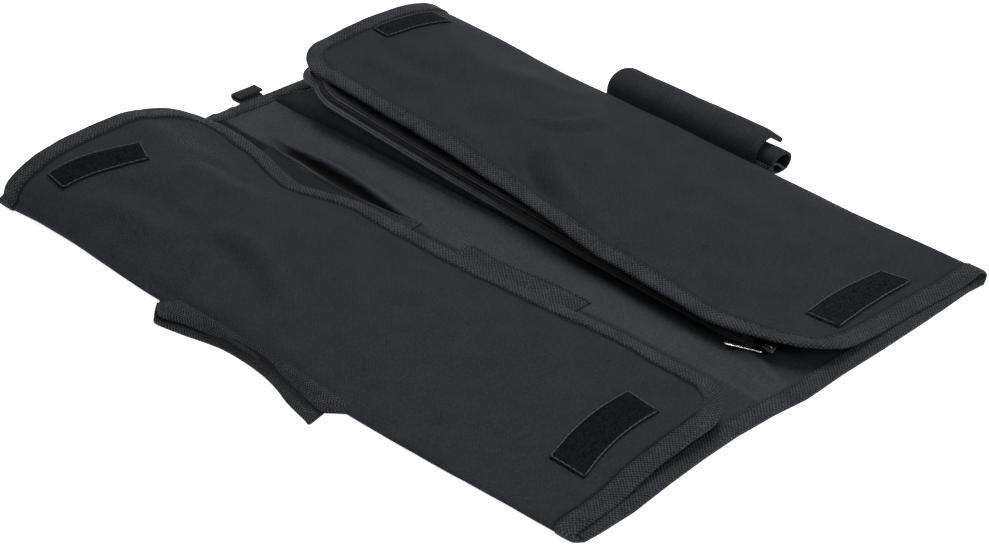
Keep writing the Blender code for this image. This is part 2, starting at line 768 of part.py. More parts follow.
def build():
    for old in list(bpy.data.objects):
        bpy.data.objects.remove(old, do_unlink=True)
    mats = {
        "outer": material("outer_fabric", (0.030, 0.031, 0.034), 0.82),
        "lining": material("lining_fabric", (0.040, 0.050, 0.053), 0.55),
        "binding": material("binding_tape", (0.030, 0.031, 0.034), 0.75),
        "webbing": material("webbing", (0.034, 0.035, 0.038), 0.7),
        "loop": material("loop_tape", (0.012, 0.012, 0.013), 0.95),
        "hook": material("hook_tape", (0.016, 0.016, 0.017), 0.7),
        "zip": material("zip_tape", (0.020, 0.021, 0.022), 0.7),
        "coil": material("zip_coil", (0.015, 0.015, 0.016), 0.4),
        "metal": material("bright_metal", (0.72, 0.72, 0.72), 0.25, 1.0),
    }
    left_drape, right_drape = Drape(LEFT_FLAP), Drape(RIGHT_FLAP)

    spine = body("spine_frame", (0, 0, 0))
    left_cover = body("left_cover_frame", (SPINE_LEFT, 0, FOLD_AXIS_Z))
    right_cover = body("right_cover_frame", (SPINE_RIGHT, 0, FOLD_AXIS_Z))
    left_flap = body("left_flap_frame", LEFT_CROWN[0].lerp(LEFT_CROWN[1], 0.5))
    right_flap = body("right_flap_frame", RIGHT_CROWN[0].lerp(RIGHT_CROWN[1], 0.5))
    left_handle = body("left_handle_frame", (-HALF_WIDTH - 5.0, 10.0, 1.1))
    right_handle = body("right_handle_frame", (HALF_WIDTH + 1.5, 14.0, 2.5))
    grip_cover = body("grip_cover_frame", GRIP_HINGE)
    slider = body("slider_frame", ZIP_NEAR)
    pull = body("pull_frame", PULL_HEAD)
    hanger_body = body("hanger_frame", (14.0, HALF_LENGTH + 0.4, HANGER_Z + 2.8))

    spine_layers(spine, mats)
    cover_layers(-1, SPINE_LEFT, left_cover, mats)
    cover_layers(1, SPINE_RIGHT, right_cover, mats)
    pocket_panels(left_cover, mats)
    long_fold("fold_left", LEFT_CROWN, -1, left_cover, mats["outer"])
    long_fold("fold_right", RIGHT_CROWN, 1, right_cover, mats["outer"])

    under = -FLAP_PANEL - GAP
    flaps = (
        ("left", left_drape, LEFT_CORNER, left_flap),
        ("right", right_drape, RIGHT_CORNER, right_flap),
    )
    for word, drape, radius, parent in flaps:
        panel, lining = f"flap_{word}_panel", f"flap_{word}_lining"
        flap_sheet(panel, drape, radius, BINDING, 0.0, -FLAP_PANEL, parent, mats["outer"])
        flap_sheet(lining, drape, radius, BINDING, under, -FLAP_STACK, parent, mats["lining"])
        flap_binding(f"flap_{word}_binding", drape, radius, parent, mats["binding"])
    flap_patch("loop_patch_near", left_drape, LOOP_NEAR, left_flap, mats["loop"])
    flap_patch("loop_patch_far", left_drape, LOOP_FAR, left_flap, mats["loop"])
    flap_patch("hook_patch_near", right_drape, HOOK_NEAR, right_flap, mats["hook"])
    flap_patch("hook_patch_far", right_drape, HOOK_FAR, right_flap, mats["hook"])

    pouch_panel(right_drape, right_cover, mats["outer"])
    pouch_gusset(right_cover, mats["outer"])
    zip_strip("zip_tape_upper", COIL_RADIUS + GAP, TAPE, TAPE_THICK / 2, right_cover, mats["zip"])
    zip_strip("zip_tape_lower", -TAPE, -COIL_RADIUS - GAP, TAPE_THICK / 2, right_cover, mats["zip"])
    zip_coil("zip_coil", right_cover, mats["coil"])
    zip_slider_body(slider, mats["metal"])
    pull_tab(pull, mats["metal"])

    left_strap(left_handle, mats["webbing"])
    grip(right_handle, grip_cover, mats)
    hanger(hanger_body, mats["binding"])


build()
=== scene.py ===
"""The looks of the drum stick bag: cloth, tapes, webbing, zip and handles over the fixed frame.

Lengths are in millimetres until a mesh is made. Every cloth piece carries a flat map named
"cloth", also in millimetres, so that weaves and stitches keep their scale and follow the cloth.
"""

import math

import bmesh
import bpy
import numpy as np
from mathutils import Matrix, Vector, noise


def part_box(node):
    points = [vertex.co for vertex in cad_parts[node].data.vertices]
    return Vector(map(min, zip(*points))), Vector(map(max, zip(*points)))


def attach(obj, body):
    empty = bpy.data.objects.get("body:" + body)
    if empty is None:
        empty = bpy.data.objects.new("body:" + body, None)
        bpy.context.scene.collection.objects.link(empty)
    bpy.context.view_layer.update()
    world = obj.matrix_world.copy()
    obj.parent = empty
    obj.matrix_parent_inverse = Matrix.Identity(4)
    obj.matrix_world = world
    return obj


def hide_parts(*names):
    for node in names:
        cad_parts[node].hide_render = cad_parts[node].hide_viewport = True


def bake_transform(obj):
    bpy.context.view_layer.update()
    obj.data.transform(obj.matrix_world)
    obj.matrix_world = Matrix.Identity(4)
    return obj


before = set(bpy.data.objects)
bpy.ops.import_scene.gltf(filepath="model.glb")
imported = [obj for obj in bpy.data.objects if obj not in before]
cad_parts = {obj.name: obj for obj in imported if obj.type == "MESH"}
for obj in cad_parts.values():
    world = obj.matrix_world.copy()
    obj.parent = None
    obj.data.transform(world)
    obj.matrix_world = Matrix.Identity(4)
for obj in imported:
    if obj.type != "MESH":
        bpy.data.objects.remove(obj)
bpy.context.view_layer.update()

MM = 0.001

# ------------------------------------------------------------------ the bag's own dimensions
HALF_WIDTH, HALF_LENGTH = 192.0, 232.0
SEAM_X = -9.0  # the base's layers are pieced along the middle of the spine
FLAP_NEAR, FLAP_FAR = -227.5, 224.5
BINDING = 12.0
LEFT_CORNER, RIGHT_CORNER = 40.0, 34.0
ZIP_NEAR, ZIP_FAR = np.array((23.0, -191.0, 6.6)), np.array((27.0, 182.0, 22.0))
ZIP_REACH = 1.02  # the coil runs on past the slider's last position, by this share
ZIP_LATE_SHIFT = np.array((6.5, 0.0, 2.5))  # how far its last stretch bends inward
ZIP_TILT = math.radians(35)
ZIP_CORNER, ZIP_TURN = 20.0, math.radians(75)
LINING_TOP = 1.9

# Where cloth bends between two bodies: (fixed, moving, start, end).
SPINE_TO_LEFT = ("spine", "left_cover", (-0.023, 0, 0), (-0.029, 0, 0))
SPINE_TO_RIGHT = ("spine", "right_cover", (0.005, 0, 0), (0.011, 0, 0))
LEFT_HINGE = ("left_cover", "left_flap", (-0.1905, 0, 0.0008), (-0.185, 0, 0.0063))
RIGHT_HINGE = ("right_cover", "right_flap", (0.1885, 0, 0.0014), (0.1744, 0, 0.0078))

GRIP_TO_WRAP = ("right_handle", "grip_wrap", (0.1972, 0.014, 0.0095), (0.1992, 0.014, 0.0145))
SPINE_TO_HANGER = ("spine", "hanger", (0.014, 0.2315, 0.006), (0.014, 0.2345, 0.006))

# Each flap across the bag at several places along it: crown to inner edge, as (X, Z).
LEFT_STATIONS = (
    (-227, ((-190.5, 4.9), (-184, 5.3), (-170, 5.5), (-145, 6.4), (-114, 9),
        (-84, 11), (-60, 11.6), (-36, 11.2))),
    (-130, ((-191.6, 6), (-185, 7.6), (-170, 9.2), (-147, 11.2), (-118, 12.8),
        (-89, 13.2), (-61, 12.4), (-33.5, 10))),
    (-50, ((-192.5, 6.9), (-186, 9.4), (-171, 12.4), (-148, 14.8), (-119, 16.2),
        (-90, 15.6), (-58, 9.0), (-35, 6.4))),
    (25, ((-193.4, 7.8), (-187, 11.2), (-171, 15.2), (-148, 18.4), (-120, 20),
        (-92, 18.6), (-60, 9.2), (-36.5, 6.4))),
    (82, ((-194.2, 8.5), (-189, 13), (-173, 18.4), (-150, 22.6), (-122, 24.6),
        (-93, 22.5), (-59, 10.0), (-36, 6.6))),
    (120, ((-194.7, 8.9), (-189.7, 14), (-174, 20.2), (-151, 24.8), (-124, 27),
        (-98, 25), (-69, 10.6), (-51, 7))),
    (165, ((-195.2, 9.3), (-191, 15.6), (-175.5, 23), (-152.5, 28.4), (-125, 30.6),
        (-97, 28.5), (-61, 13.4), (-40, 9.5))),
    (225, ((-196, 10), (-193.5, 18.5), (-179, 27), (-155, 33), (-128, 34.6),
        (-98, 33), (-66, 25.5), (-38, 15))),
)
RIGHT_STATIONS = (
    (-227, ((188.5, 8.1), (180, 6.4), (160, 5.2), (130, 5), (97, 5.6),
        (70, 8.2), (48, 13), (24, 17))),
    (-150, ((188.1, 9.9), (179, 12), (160, 13.6), (130, 15), (97, 15.8),
        (64, 15.8), (36, 15.4), (10.5, 14))),
    (-65, ((187.6, 11.9), (179, 15.4), (160, 18.4), (130, 21), (97, 22),
        (65, 21.4), (40, 18.4), (17.5, 14))),
    (22, ((187.1, 14), (179, 18.6), (160, 22.4), (130, 25.6), (97, 27),
        (66, 26.4), (42, 26), (25, 22))),
    (110, ((186.6, 16.2), (179, 20.6), (160, 25), (131, 29), (99, 31),
        (69, 30), (46, 30), (29.5, 27.5))),
    (225, ((186, 19), (178, 26.5), (157, 33), (130, 35), (101, 34),
        (74, 32), (54, 31.5), (36, 30))),
)

# How far each long fold stands out past the base's straight side: Y, and the distance.
LEFT_BOW = ((-232, -224, -201, -178, -154, -130, -105, -79, 93, 126, 160, 193, 208, 232),
            (2.6, 3.3, 4.6, 5.2, 6.6, 7.8, 8.4, 8.8, 7.5, 5.5, 3.0, 3.0, 5.0, 5.5))
RIGHT_BOW = ((-232, -209, -183, -158, -132, -104, 60, 103, 140, 180),
             (5.5, 5.0, 4.0, 2.0, 0.5, 1.0, 0.0, -4.0, -1.2, 0.0))
# How far the base's near edge stands out past its straight line: X, and the distance.
NEAR_EDGE = ((-192, -180, -152, -120, -87, -54, -23, 4, 44, 75, 130, 177, 192),
             (1.0, 1.8, 2.1, -0.5, -2.5, -3.2, -1.8, 1.0, 0.0, 0.4, 0.0, -1.2, 0.0))

# Soft ridges (and valleys, where the height is negative) on each flap:
# start (distance from the inner edge, Y), end, width, height.
LEFT_RIDGES = (
    ((150, 176), (120, 96), 8, 1.5),
    ((131, 176), (104, 110), 8, -1.2),
    ((108, 92), (124, 18), 9, 1.7),
    ((122, 96), (138, 30), 8, -1.2),
    ((84, 158), (62, 96), 10, 1.3),
    ((66, 160), (44, 118), 8, -1.1),
    ((96, 20), (128, -40), 14, 1.2),
    ((60, 60), (84, -6), 12, 0.9),
    ((40, -60), (70, -150), 18, 0.8),
    ((30, -170), (42, -200), 10, -0.9),
)
RIGHT_RIDGES = (
    ((62, 34), (24, -34), 9, 2.2),
    ((42, 40), (14, -12), 7, -2.4),
    ((68, 53), (104, 28), 4, -1.3),
    ((70, 60), (106, 36), 5, 1.2),
    ((84, 20), (66, -52), 12, 1.1),
    ((40, 186), (52, 128), 10, 1.5),
    ((60, 180), (74, 120), 9, -1.2),
    ((100, 150), (118, 84), 16, 1.2),
    ((36, 110), (26, 60), 8, 1.1),
    ((70, -90), (110, -150), 18, 0.9),
    ((30, -120), (40, -170), 12, -0.9),
)


# ------------------------------------------------------------------ materials
class Shader:
    """A small helper that strings shader nodes together."""

    def __init__(self, name):
        self.mat = bpy.data.materials.new(name)
        self.mat.use_nodes = True
        self.tree = self.mat.node_tree
        self.bsdf = self.tree.nodes["Principled BSDF"]
        uv = self.node("ShaderNodeUVMap")
        uv.uv_map = "cloth"
        self.cloth = uv.outputs["UV"]
        split = self.node("ShaderNodeSeparateXYZ")
        self.link(self.cloth, split.inputs[0])
        self.u, self.v = split.outputs[0], split.outputs[1]

    def node(self, kind):
        return self.tree.nodes.new(kind)

    def link(self, source, target):
        self.tree.links.new(source, target)

    def feed(self, value, target):
        if isinstance(value, (int, float, tuple)):
            target.default_value = value
        else:
            self.link(value, target)

    def calc(self, operation, a, b=0.0, clamp=False):
        n = self.node("ShaderNodeMath")
        n.operation, n.use_clamp = operation, clamp
        self.feed(a, n.inputs[0])
        self.feed(b, n.inputs[1])
        return n.outputs[0]

    def times(self, a, b):
        return self.calc("MULTIPLY", a, b)

    def plus(self, a, b, clamp=False):
        return self.calc("ADD", a, b, clamp)

    def wave(self, value, period):
        return self.calc("SINE", self.times(value, 2 * math.pi / period))

    def noise(self, scale, detail=3.0, rough=0.55, stretch=(1.0, 1.0)):
        """Noise over the cloth map, with about `scale` features per millimetre."""
        n = self.node("ShaderNodeTexNoise")
        m = self.node("ShaderNodeMapping")
        m.inputs["Scale"].default_value = (stretch[0], stretch[1], 1)
        self.link(self.cloth, m.inputs["Vector"])
        self.link(m.outputs[0], n.inputs["Vector"])
        n.inputs["Scale"].default_value = scale
        n.inputs["Detail"].default_value = detail
        n.inputs["Roughness"].default_value = rough
        return n.outputs["Fac"]

    def mix(self, factor, a, b):
        n = self.node("ShaderNodeMix")
        n.data_type = "RGBA"
        self.feed(factor, n.inputs["Factor"])
        self.feed(a, n.inputs[6])
        self.feed(b, n.inputs[7])
        return n.outputs[2]

    def fit(self, value, low, high):
        """value from 0..1 onto low..high."""
        return self.plus(self.times(value, high - low), low)

    def depth(self):
        """Painted shade at a point, from 0 to 1: how deep in a fold, under another layer or in a gap it
        lies, where shade falls.
        """
        n = self.node("ShaderNodeAttribute")
        n.attribute_name = "depth"
        return n.outputs["Fac"]

    def bump(self, height, distance, strength=1.0):
        n = self.node("ShaderNodeBump")
        n.inputs["Strength"].default_value = strength
        n.inputs["Distance"].default_value = distance
        self.link(height, n.inputs["Height"])
        self.link(n.outputs[0], self.bsdf.inputs["Normal"])

    def finish(self, color, roughness, sheen=0.0, specular=0.5, metallic=0.0):
        self.feed(color, self.bsdf.inputs["Base Color"])
        self.feed(roughness, self.bsdf.inputs["Roughness"])
        self.bsdf.inputs["Sheen Weight"].default_value = sheen
        self.bsdf.inputs["Sheen Roughness"].default_value = 0.45
        self.bsdf.inputs["Sheen Tint"].default_value = (0.85, 0.9, 1.0, 1.0)
        self.bsdf.inputs["Specular IOR Level"].default_value = specular
        self.bsdf.inputs["Metallic"].default_value = metallic
        return self.mat


def rgba(r, g, b):
    return (r, g, b, 1.0)


ZIGZAG = 2.6  # half the width of one herringbone
BLACKEST = (0.0001, 0.0001, 0.0002)
DEEP_SHADE = rgba(0.0004, 0.0004, 0.0005)  # cloth that no light reaches


def cloth(name, dark, light, pattern, pitch, thread, rough, bump, sheen, specular,
          blotch=0.5, contrast=1.0):
    """A woven material: `pattern` gives the weave's height, and noise the thread and the wear."""
    s = Shader(name)
    if pattern == "plain":
        weave = s.times(s.wave(s.u, pitch), s.wave(s.v, pitch))
    elif pattern == "herringbone":
        weave = s.wave(s.plus(s.v, s.calc("PINGPONG", s.u, ZIGZAG)), pitch)
    else:
        weave = s.wave(s.u, pitch)
    weave = s.fit(weave, 0.5, 1.0)
    fuzz = s.noise(thread, 2.0, 0.6)
    s.bump(s.plus(s.times(weave, 0.65), s.times(fuzz, 0.7)), bump)
    mottle = s.noise(0.045, 4.0, 0.6)
    fine = s.noise(0.5, 3.0, 0.7)
    tone = s.plus(s.times(weave, 0.5), s.times(fuzz, 0.34))
    tone = s.plus(tone, s.times(s.calc("SUBTRACT", mottle, 0.5), blotch))
    tone = s.plus(tone, s.times(s.calc("SUBTRACT", fine, 0.5), 0.75), clamp=True)
    tone = s.calc("POWER", tone, contrast)
    color = s.mix(tone, rgba(*dark), rgba(*light))
    # Painted shade: the colour darkens towards DEEP_SHADE where the painted shade attribute is high.
    color = s.mix(s.depth(), color, DEEP_SHADE)
    roughness = s.fit(s.plus(mottle, s.times(fuzz, 0.4)), rough - 0.1, rough + 0.06)
    return s.finish(color, roughness, sheen, specular)


def metal(name, dark, light):
    s = Shader(name)
    scratch = s.noise(2.0, 4.0, 0.7, (0.1, 1.0))
    s.bump(scratch, 0.00002)
    color = s.mix(scratch, rgba(*dark), rgba(*light))
    return s.finish(color, s.fit(scratch, 0.16, 0.34), metallic=1.0)


def fuzzy(name, light, scale):
    """The hook and the loop tape: tight dots in a felted nap."""
    s = Shader(name)
    n = s.node("ShaderNodeTexVoronoi")
    s.link(s.cloth, n.inputs["Vector"])
    n.inputs["Scale"].default_value = scale
    n.inputs["Randomness"].default_value = 0.85
    dots = s.calc("SUBTRACT", 1.0, n.outputs["Distance"], clamp=True)
    nap = s.noise(scale * 0.6, 4.0, 0.75)
    height = s.plus(s.times(dots, 0.6), s.times(nap, 0.8))
    s.bump(height, 0.0009)
    tone = s.calc("POWER", s.times(height, 0.72), 1.7, clamp=True)
    color = s.mix(tone, rgba(*BLACKEST), rgba(*light))
    return s.finish(color, s.fit(nap, 0.8, 0.97), specular=0.03)


# Name: dark and light colour, weave, its pitch, thread noise, roughness, bump, sheen, specular.
WOVEN = {
    "outer_fabric": ((0.0020, 0.0026, 0.0036), (0.0262, 0.0290, 0.0346),
                     "plain", 1.35, 1.3, 0.74, 0.00034, 0.0, 0.08),
    "lining_fabric": ((0.003, 0.0036, 0.0046), (0.0440, 0.0482, 0.0565),
                      "plain", 0.9, 0.6, 0.55, 0.00014, 0.0, 0.05, 0.3),
    # A lighter copy of the outer fabric: painted light, so that the pouch's front wall, turned away from
    # the overhead lamp, still looks moderately lit.
    "pouch_cloth_painted_light": ((0.002, 0.0028, 0.0036), (0.034, 0.041, 0.049),
                    "plain", 1.2, 0.8, 0.6, 0.0002, 0.02, 0.12),
    "binding_tape": (BLACKEST, (0.074, 0.079, 0.093),
                     "plain", 2.5, 1.0, 0.7, 0.0008, 0.02, 0.1, 0.5, 2.0),
    "webbing": (BLACKEST, (0.064, 0.067, 0.077),
                "herringbone", 1.9, 1.0, 0.7, 0.0008, 0.02, 0.1, 0.5, 2.0),
    "zip_tape": ((0.0002, 0.0002, 0.0003), (0.046, 0.048, 0.054),
                 "rib", 1.9, 1.0, 0.62, 0.0006, 0.02, 0.16),
    "zip_coil": ((0.0004, 0.0004, 0.0006), (0.014, 0.0145, 0.0165),
                 "rib", 1.3, 1.0, 0.4, 0.00005, 0.0, 0.2),
    "thread": ((0.001, 0.001, 0.0015), (0.014, 0.0145, 0.017),
               "rib", 0.5, 2.0, 0.6, 0.00008, 0.02, 0.15),
    "edge_thread": ((0.008, 0.0085, 0.01), (0.03, 0.031, 0.036),
                    "rib", 0.7, 2.0, 0.6, 0.0001, 0.02, 0.2),
}
MATS = {name: cloth(name, *values) for name, values in WOVEN.items()}
MATS["loop_tape"] = fuzzy("loop_tape", (0.013, 0.0143, 0.0172), 0.62)
MATS["hook_tape"] = fuzzy("hook_tape", (0.019, 0.0205, 0.0245), 0.6)
MATS["bright_metal"] = metal("polished metal", (0.62, 0.62, 0.63), (0.82, 0.82, 0.81))
MATS["dark_metal"] = metal("darkened metal", (0.03, 0.03, 0.032), (0.07, 0.07, 0.075))


# ------------------------------------------------------------------ mesh building
def run(points):
    """Distances along a row of points, from 0."""
    return np.concatenate([[0], np.cumsum(np.linalg.norm(np.diff(points, axis=0), axis=1))])


def grid(x, y, z):
    """Points from coordinates whose shapes go together."""
    return np.stack(np.broadcast_arrays(x, y, z), -1)


def mm_box(node):
    """The low and the high corner of a node's box, in millimetres."""
    return (np.array(corner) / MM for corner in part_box(node))


def squared(value, power):
    """Pulls a circle's sine or cosine towards a rounded square's."""
    return np.sign(value) * abs(value) ** power


def turns(count):
    """Angles round a circle, from 0."""
    return np.linspace(0, 2 * math.pi, count + 1)[:-1]


def beside(path, up):
    """The direction across a path of points that lies in the cloth."""
    along = np.gradient(path, axis=0)
    return np.cross(along / np.linalg.norm(along, axis=1, keepdims=True), up)


def solid(name, points, quads, quad_uv, slot, caps=(), depth=None, mat=None):
    """A mesh from millimetre points. Its cloth map is given corner by corner."""
    points = np.asarray(points, float)
    faces = [tuple(q) for q in np.asarray(quads, int).tolist()] + [tuple(c) for c in caps]
    mesh = bpy.data.meshes.new(name)
    mesh.from_pydata((points * MM).tolist(), [], faces)
    uv = np.asarray(quad_uv, float).reshape(-1, 2)
    if caps:
        flat = [points[i][[0, 1]] + points[i][[2, 2]] for c in caps for i in c]
        uv = np.vstack([uv, np.asarray(flat)])
    mesh.uv_layers.new(name="cloth").data.foreach_set("uv", uv.ravel())
    # This attribute holds painted shade, which darkens the colour where shade falls.
    if depth is not None:
        mesh.attributes.new("depth", "FLOAT", "POINT").data.foreach_set(
            "value", np.clip(np.asarray(depth, float).ravel(), 0, 1)
        )
    mesh.polygons.foreach_set("use_smooth", [True] * len(mesh.polygons))
    bm = bmesh.new()
    bm.from_mesh(mesh)
    bmesh.ops.recalc_face_normals(bm, faces=bm.faces)
    bm.to_mesh(mesh)
    bm.free()
    mesh.set_sharp_from_angle(angle=math.radians(55))
    mesh.materials.append(mat or MATS[slot])
    obj = bpy.data.objects.new(name, mesh)
    bpy.context.scene.collection.objects.link(obj)
    return obj


def normals_of(points):
    """Unit normals of a grid of points, pointing up on the whole."""
    n = np.cross(np.gradient(points, axis=1), np.gradient(points, axis=0))
    n /= np.maximum(np.linalg.norm(n, axis=2, keepdims=True), 1e-9)
    return -n if n[..., 2].sum() < 0 else n


def layer(name, top, thick, slot, uv=None, depth=None, under=None, mat=None):
    """A closed sheet of cloth under a grid of top points."""
    rows, columns = top.shape[:2]
    bottom = top - normals_of(top) * thick if under is None else under
    if uv is None:
        uv = flat_map(top)
    i = np.arange(rows * columns).reshape(rows, columns)
    size = rows * columns
    a = np.stack([i[:-1, :-1], i[:-1, 1:], i[1:, 1:], i[1:, :-1]], -1).reshape(-1, 4)
    rim = np.concatenate([i[0, :], i[1:, -1], i[-1, -2::-1], i[-2:0:-1, 0]])
    after = np.roll(rim, -1)
    sides = np.stack([rim, after, after + size, rim + size], -1)
    quads = np.vstack([a, a[:, ::-1] + size, sides])
    flat = np.vstack([uv.reshape(-1, 2), uv.reshape(-1, 2)])
    points = np.vstack([top.reshape(-1, 3), bottom.reshape(-1, 3)])
    both = None if depth is None else np.concatenate([depth.ravel(), depth.ravel()])
    return solid(name, points, quads, flat[quads], slot, depth=both, mat=mat)


def tube(name, rings, slot, depth=None, mat=None):
    """A closed form through rings of points, with the cloth map wrapped round it."""
    rings = np.asarray(rings, float)
    rows, columns = rings.shape[:2]
    around = np.linalg.norm(np.roll(rings, -1, 1) - rings, axis=2).mean(0)
    u = np.concatenate([[0], np.cumsum(around)])
    v = run(rings.mean(1))
    i = np.arange(rows * columns).reshape(rows, columns)
    j = np.roll(i, -1, 1)
    a = np.stack([i[:-1], j[:-1], j[1:], i[1:]], -1).reshape(-1, 4)
    uu = np.broadcast_to(np.stack([u[:-1], u[1:], u[1:], u[:-1]], -1), (rows - 1, columns, 4))
    vv = np.stack([v[:-1], v[:-1], v[1:], v[1:]], -1)[:, None, :].repeat(columns, 1)
    uv = np.stack([uu, vv], -1).reshape(-1, 4, 2)
    caps = [i[0].tolist(), i[-1].tolist()[::-1]]
    return solid(name, rings.reshape(-1, 3), a, uv, slot, caps, depth, mat)


def flat_map(points):
    """The cloth map of a grid of points: distances along its rows and its columns."""
    across = np.linalg.norm(np.diff(points, axis=1), axis=2).mean(0)
    along = np.linalg.norm(np.diff(points, axis=0), axis=2).mean(1)
    u = np.concatenate([[0], np.cumsum(across)])
    v = np.concatenate([[0], np.cumsum(along)])
    return np.stack(np.meshgrid(u, v), -1)


def smooth(x, low, high):
    t = np.clip((x - low) / (high - low), 0, 1)
    return t * t * (3 - 2 * t)


def hump(x, centre, width):
    return np.exp(-(((x - centre) / width) ** 2))


def ripple(x, y, size, seed):
    """Smooth random relief from -1 to 1 over arrays of positions."""
    x, y = np.broadcast_arrays(np.asarray(x, float), np.asarray(y, float))
    flat = [noise.noise((a / size, b / size, seed)) for a, b in zip(x.ravel(), y.ravel())]
    return np.asarray(flat).reshape(x.shape)


def curve_through(points, count):
    """`count` points on a smooth curve through the given ones."""
    p = np.asarray(points, float)
    last = len(p) - 1
    t = np.linspace(0, last, count)
    i = np.minimum(t.astype(int), last - 1)
    u = (t - i)[:, None]
    p1, p2 = p[i], p[i + 1]
    p0 = np.where((i > 0)[:, None], p[np.maximum(i - 1, 0)], 2 * p1 - p2)
    p3 = np.where((i < last - 1)[:, None], p[np.minimum(i + 2, last)], 2 * p2 - p1)
    square = (2 * p0 - 5 * p1 + 4 * p2 - p3) * u**2
    cube = (3 * p1 - p0 - 3 * p2 + p3) * u**3
    return 0.5 * (2 * p1 + (p2 - p0) * u + square + cube)


def place(obj, where, *nodes):
    """Rides one body, or, given a hinge between two bodies, stays put with its transform baked in; and
    stands for the given nodes.
    """
    if isinstance(where, str):
        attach(obj, where)
    else:
        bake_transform(obj)
    if nodes:
        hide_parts(*nodes)
    return obj


def cut(area=None):
    """Converts the size a sheet was cut to, given in millimetres, and keeps nothing of it."""
    area = None if area is None else area * 1e-6


def stitches(name, path, up, side, where, length=2.3, gap=1.0, half=0.24, slot="outer_fabric",
             thread="thread"):
    """A row of thread stitches along a path of points, each lying on the cloth."""
    along = run(path)
    points, quads = [], []

    def at(table, s):
        return np.array([np.interp(s, along, table[:, k]) for k in range(3)])

    s = 1.0
    while s + length < along[-1]:
        base = len(points)
        for share, lift, wide in ((0, 0.0, 0.5), (0.2, 0.8, 1), (0.8, 0.8, 1), (1, 0.0, 0.5)):
            p, n, b = (at(t, s + share * length) for t in (path, up, side))
            for k in (-1, 1):
                points.append(p + b * half * wide * k + n * (lift * 0.45))
                points.append(p + b * half * wide * k - n * 0.25)
        for r in range(3):
            o = base + 4 * r
            quads += [(o, o + 2, o + 6, o + 4), (o + 1, o + 5, o + 7, o + 3),
                      (o, o + 4, o + 5, o + 1), (o + 2, o + 3, o + 7, o + 6)]
        quads += [(base, base + 1, base + 3, base + 2),
                  (base + 12, base + 14, base + 15, base + 13)]
        s += length + gap
    points = np.asarray(points)
    uv = points[np.asarray(quads)][..., :2]
    return place(solid(name, points, quads, uv, slot, mat=MATS[thread]), where)


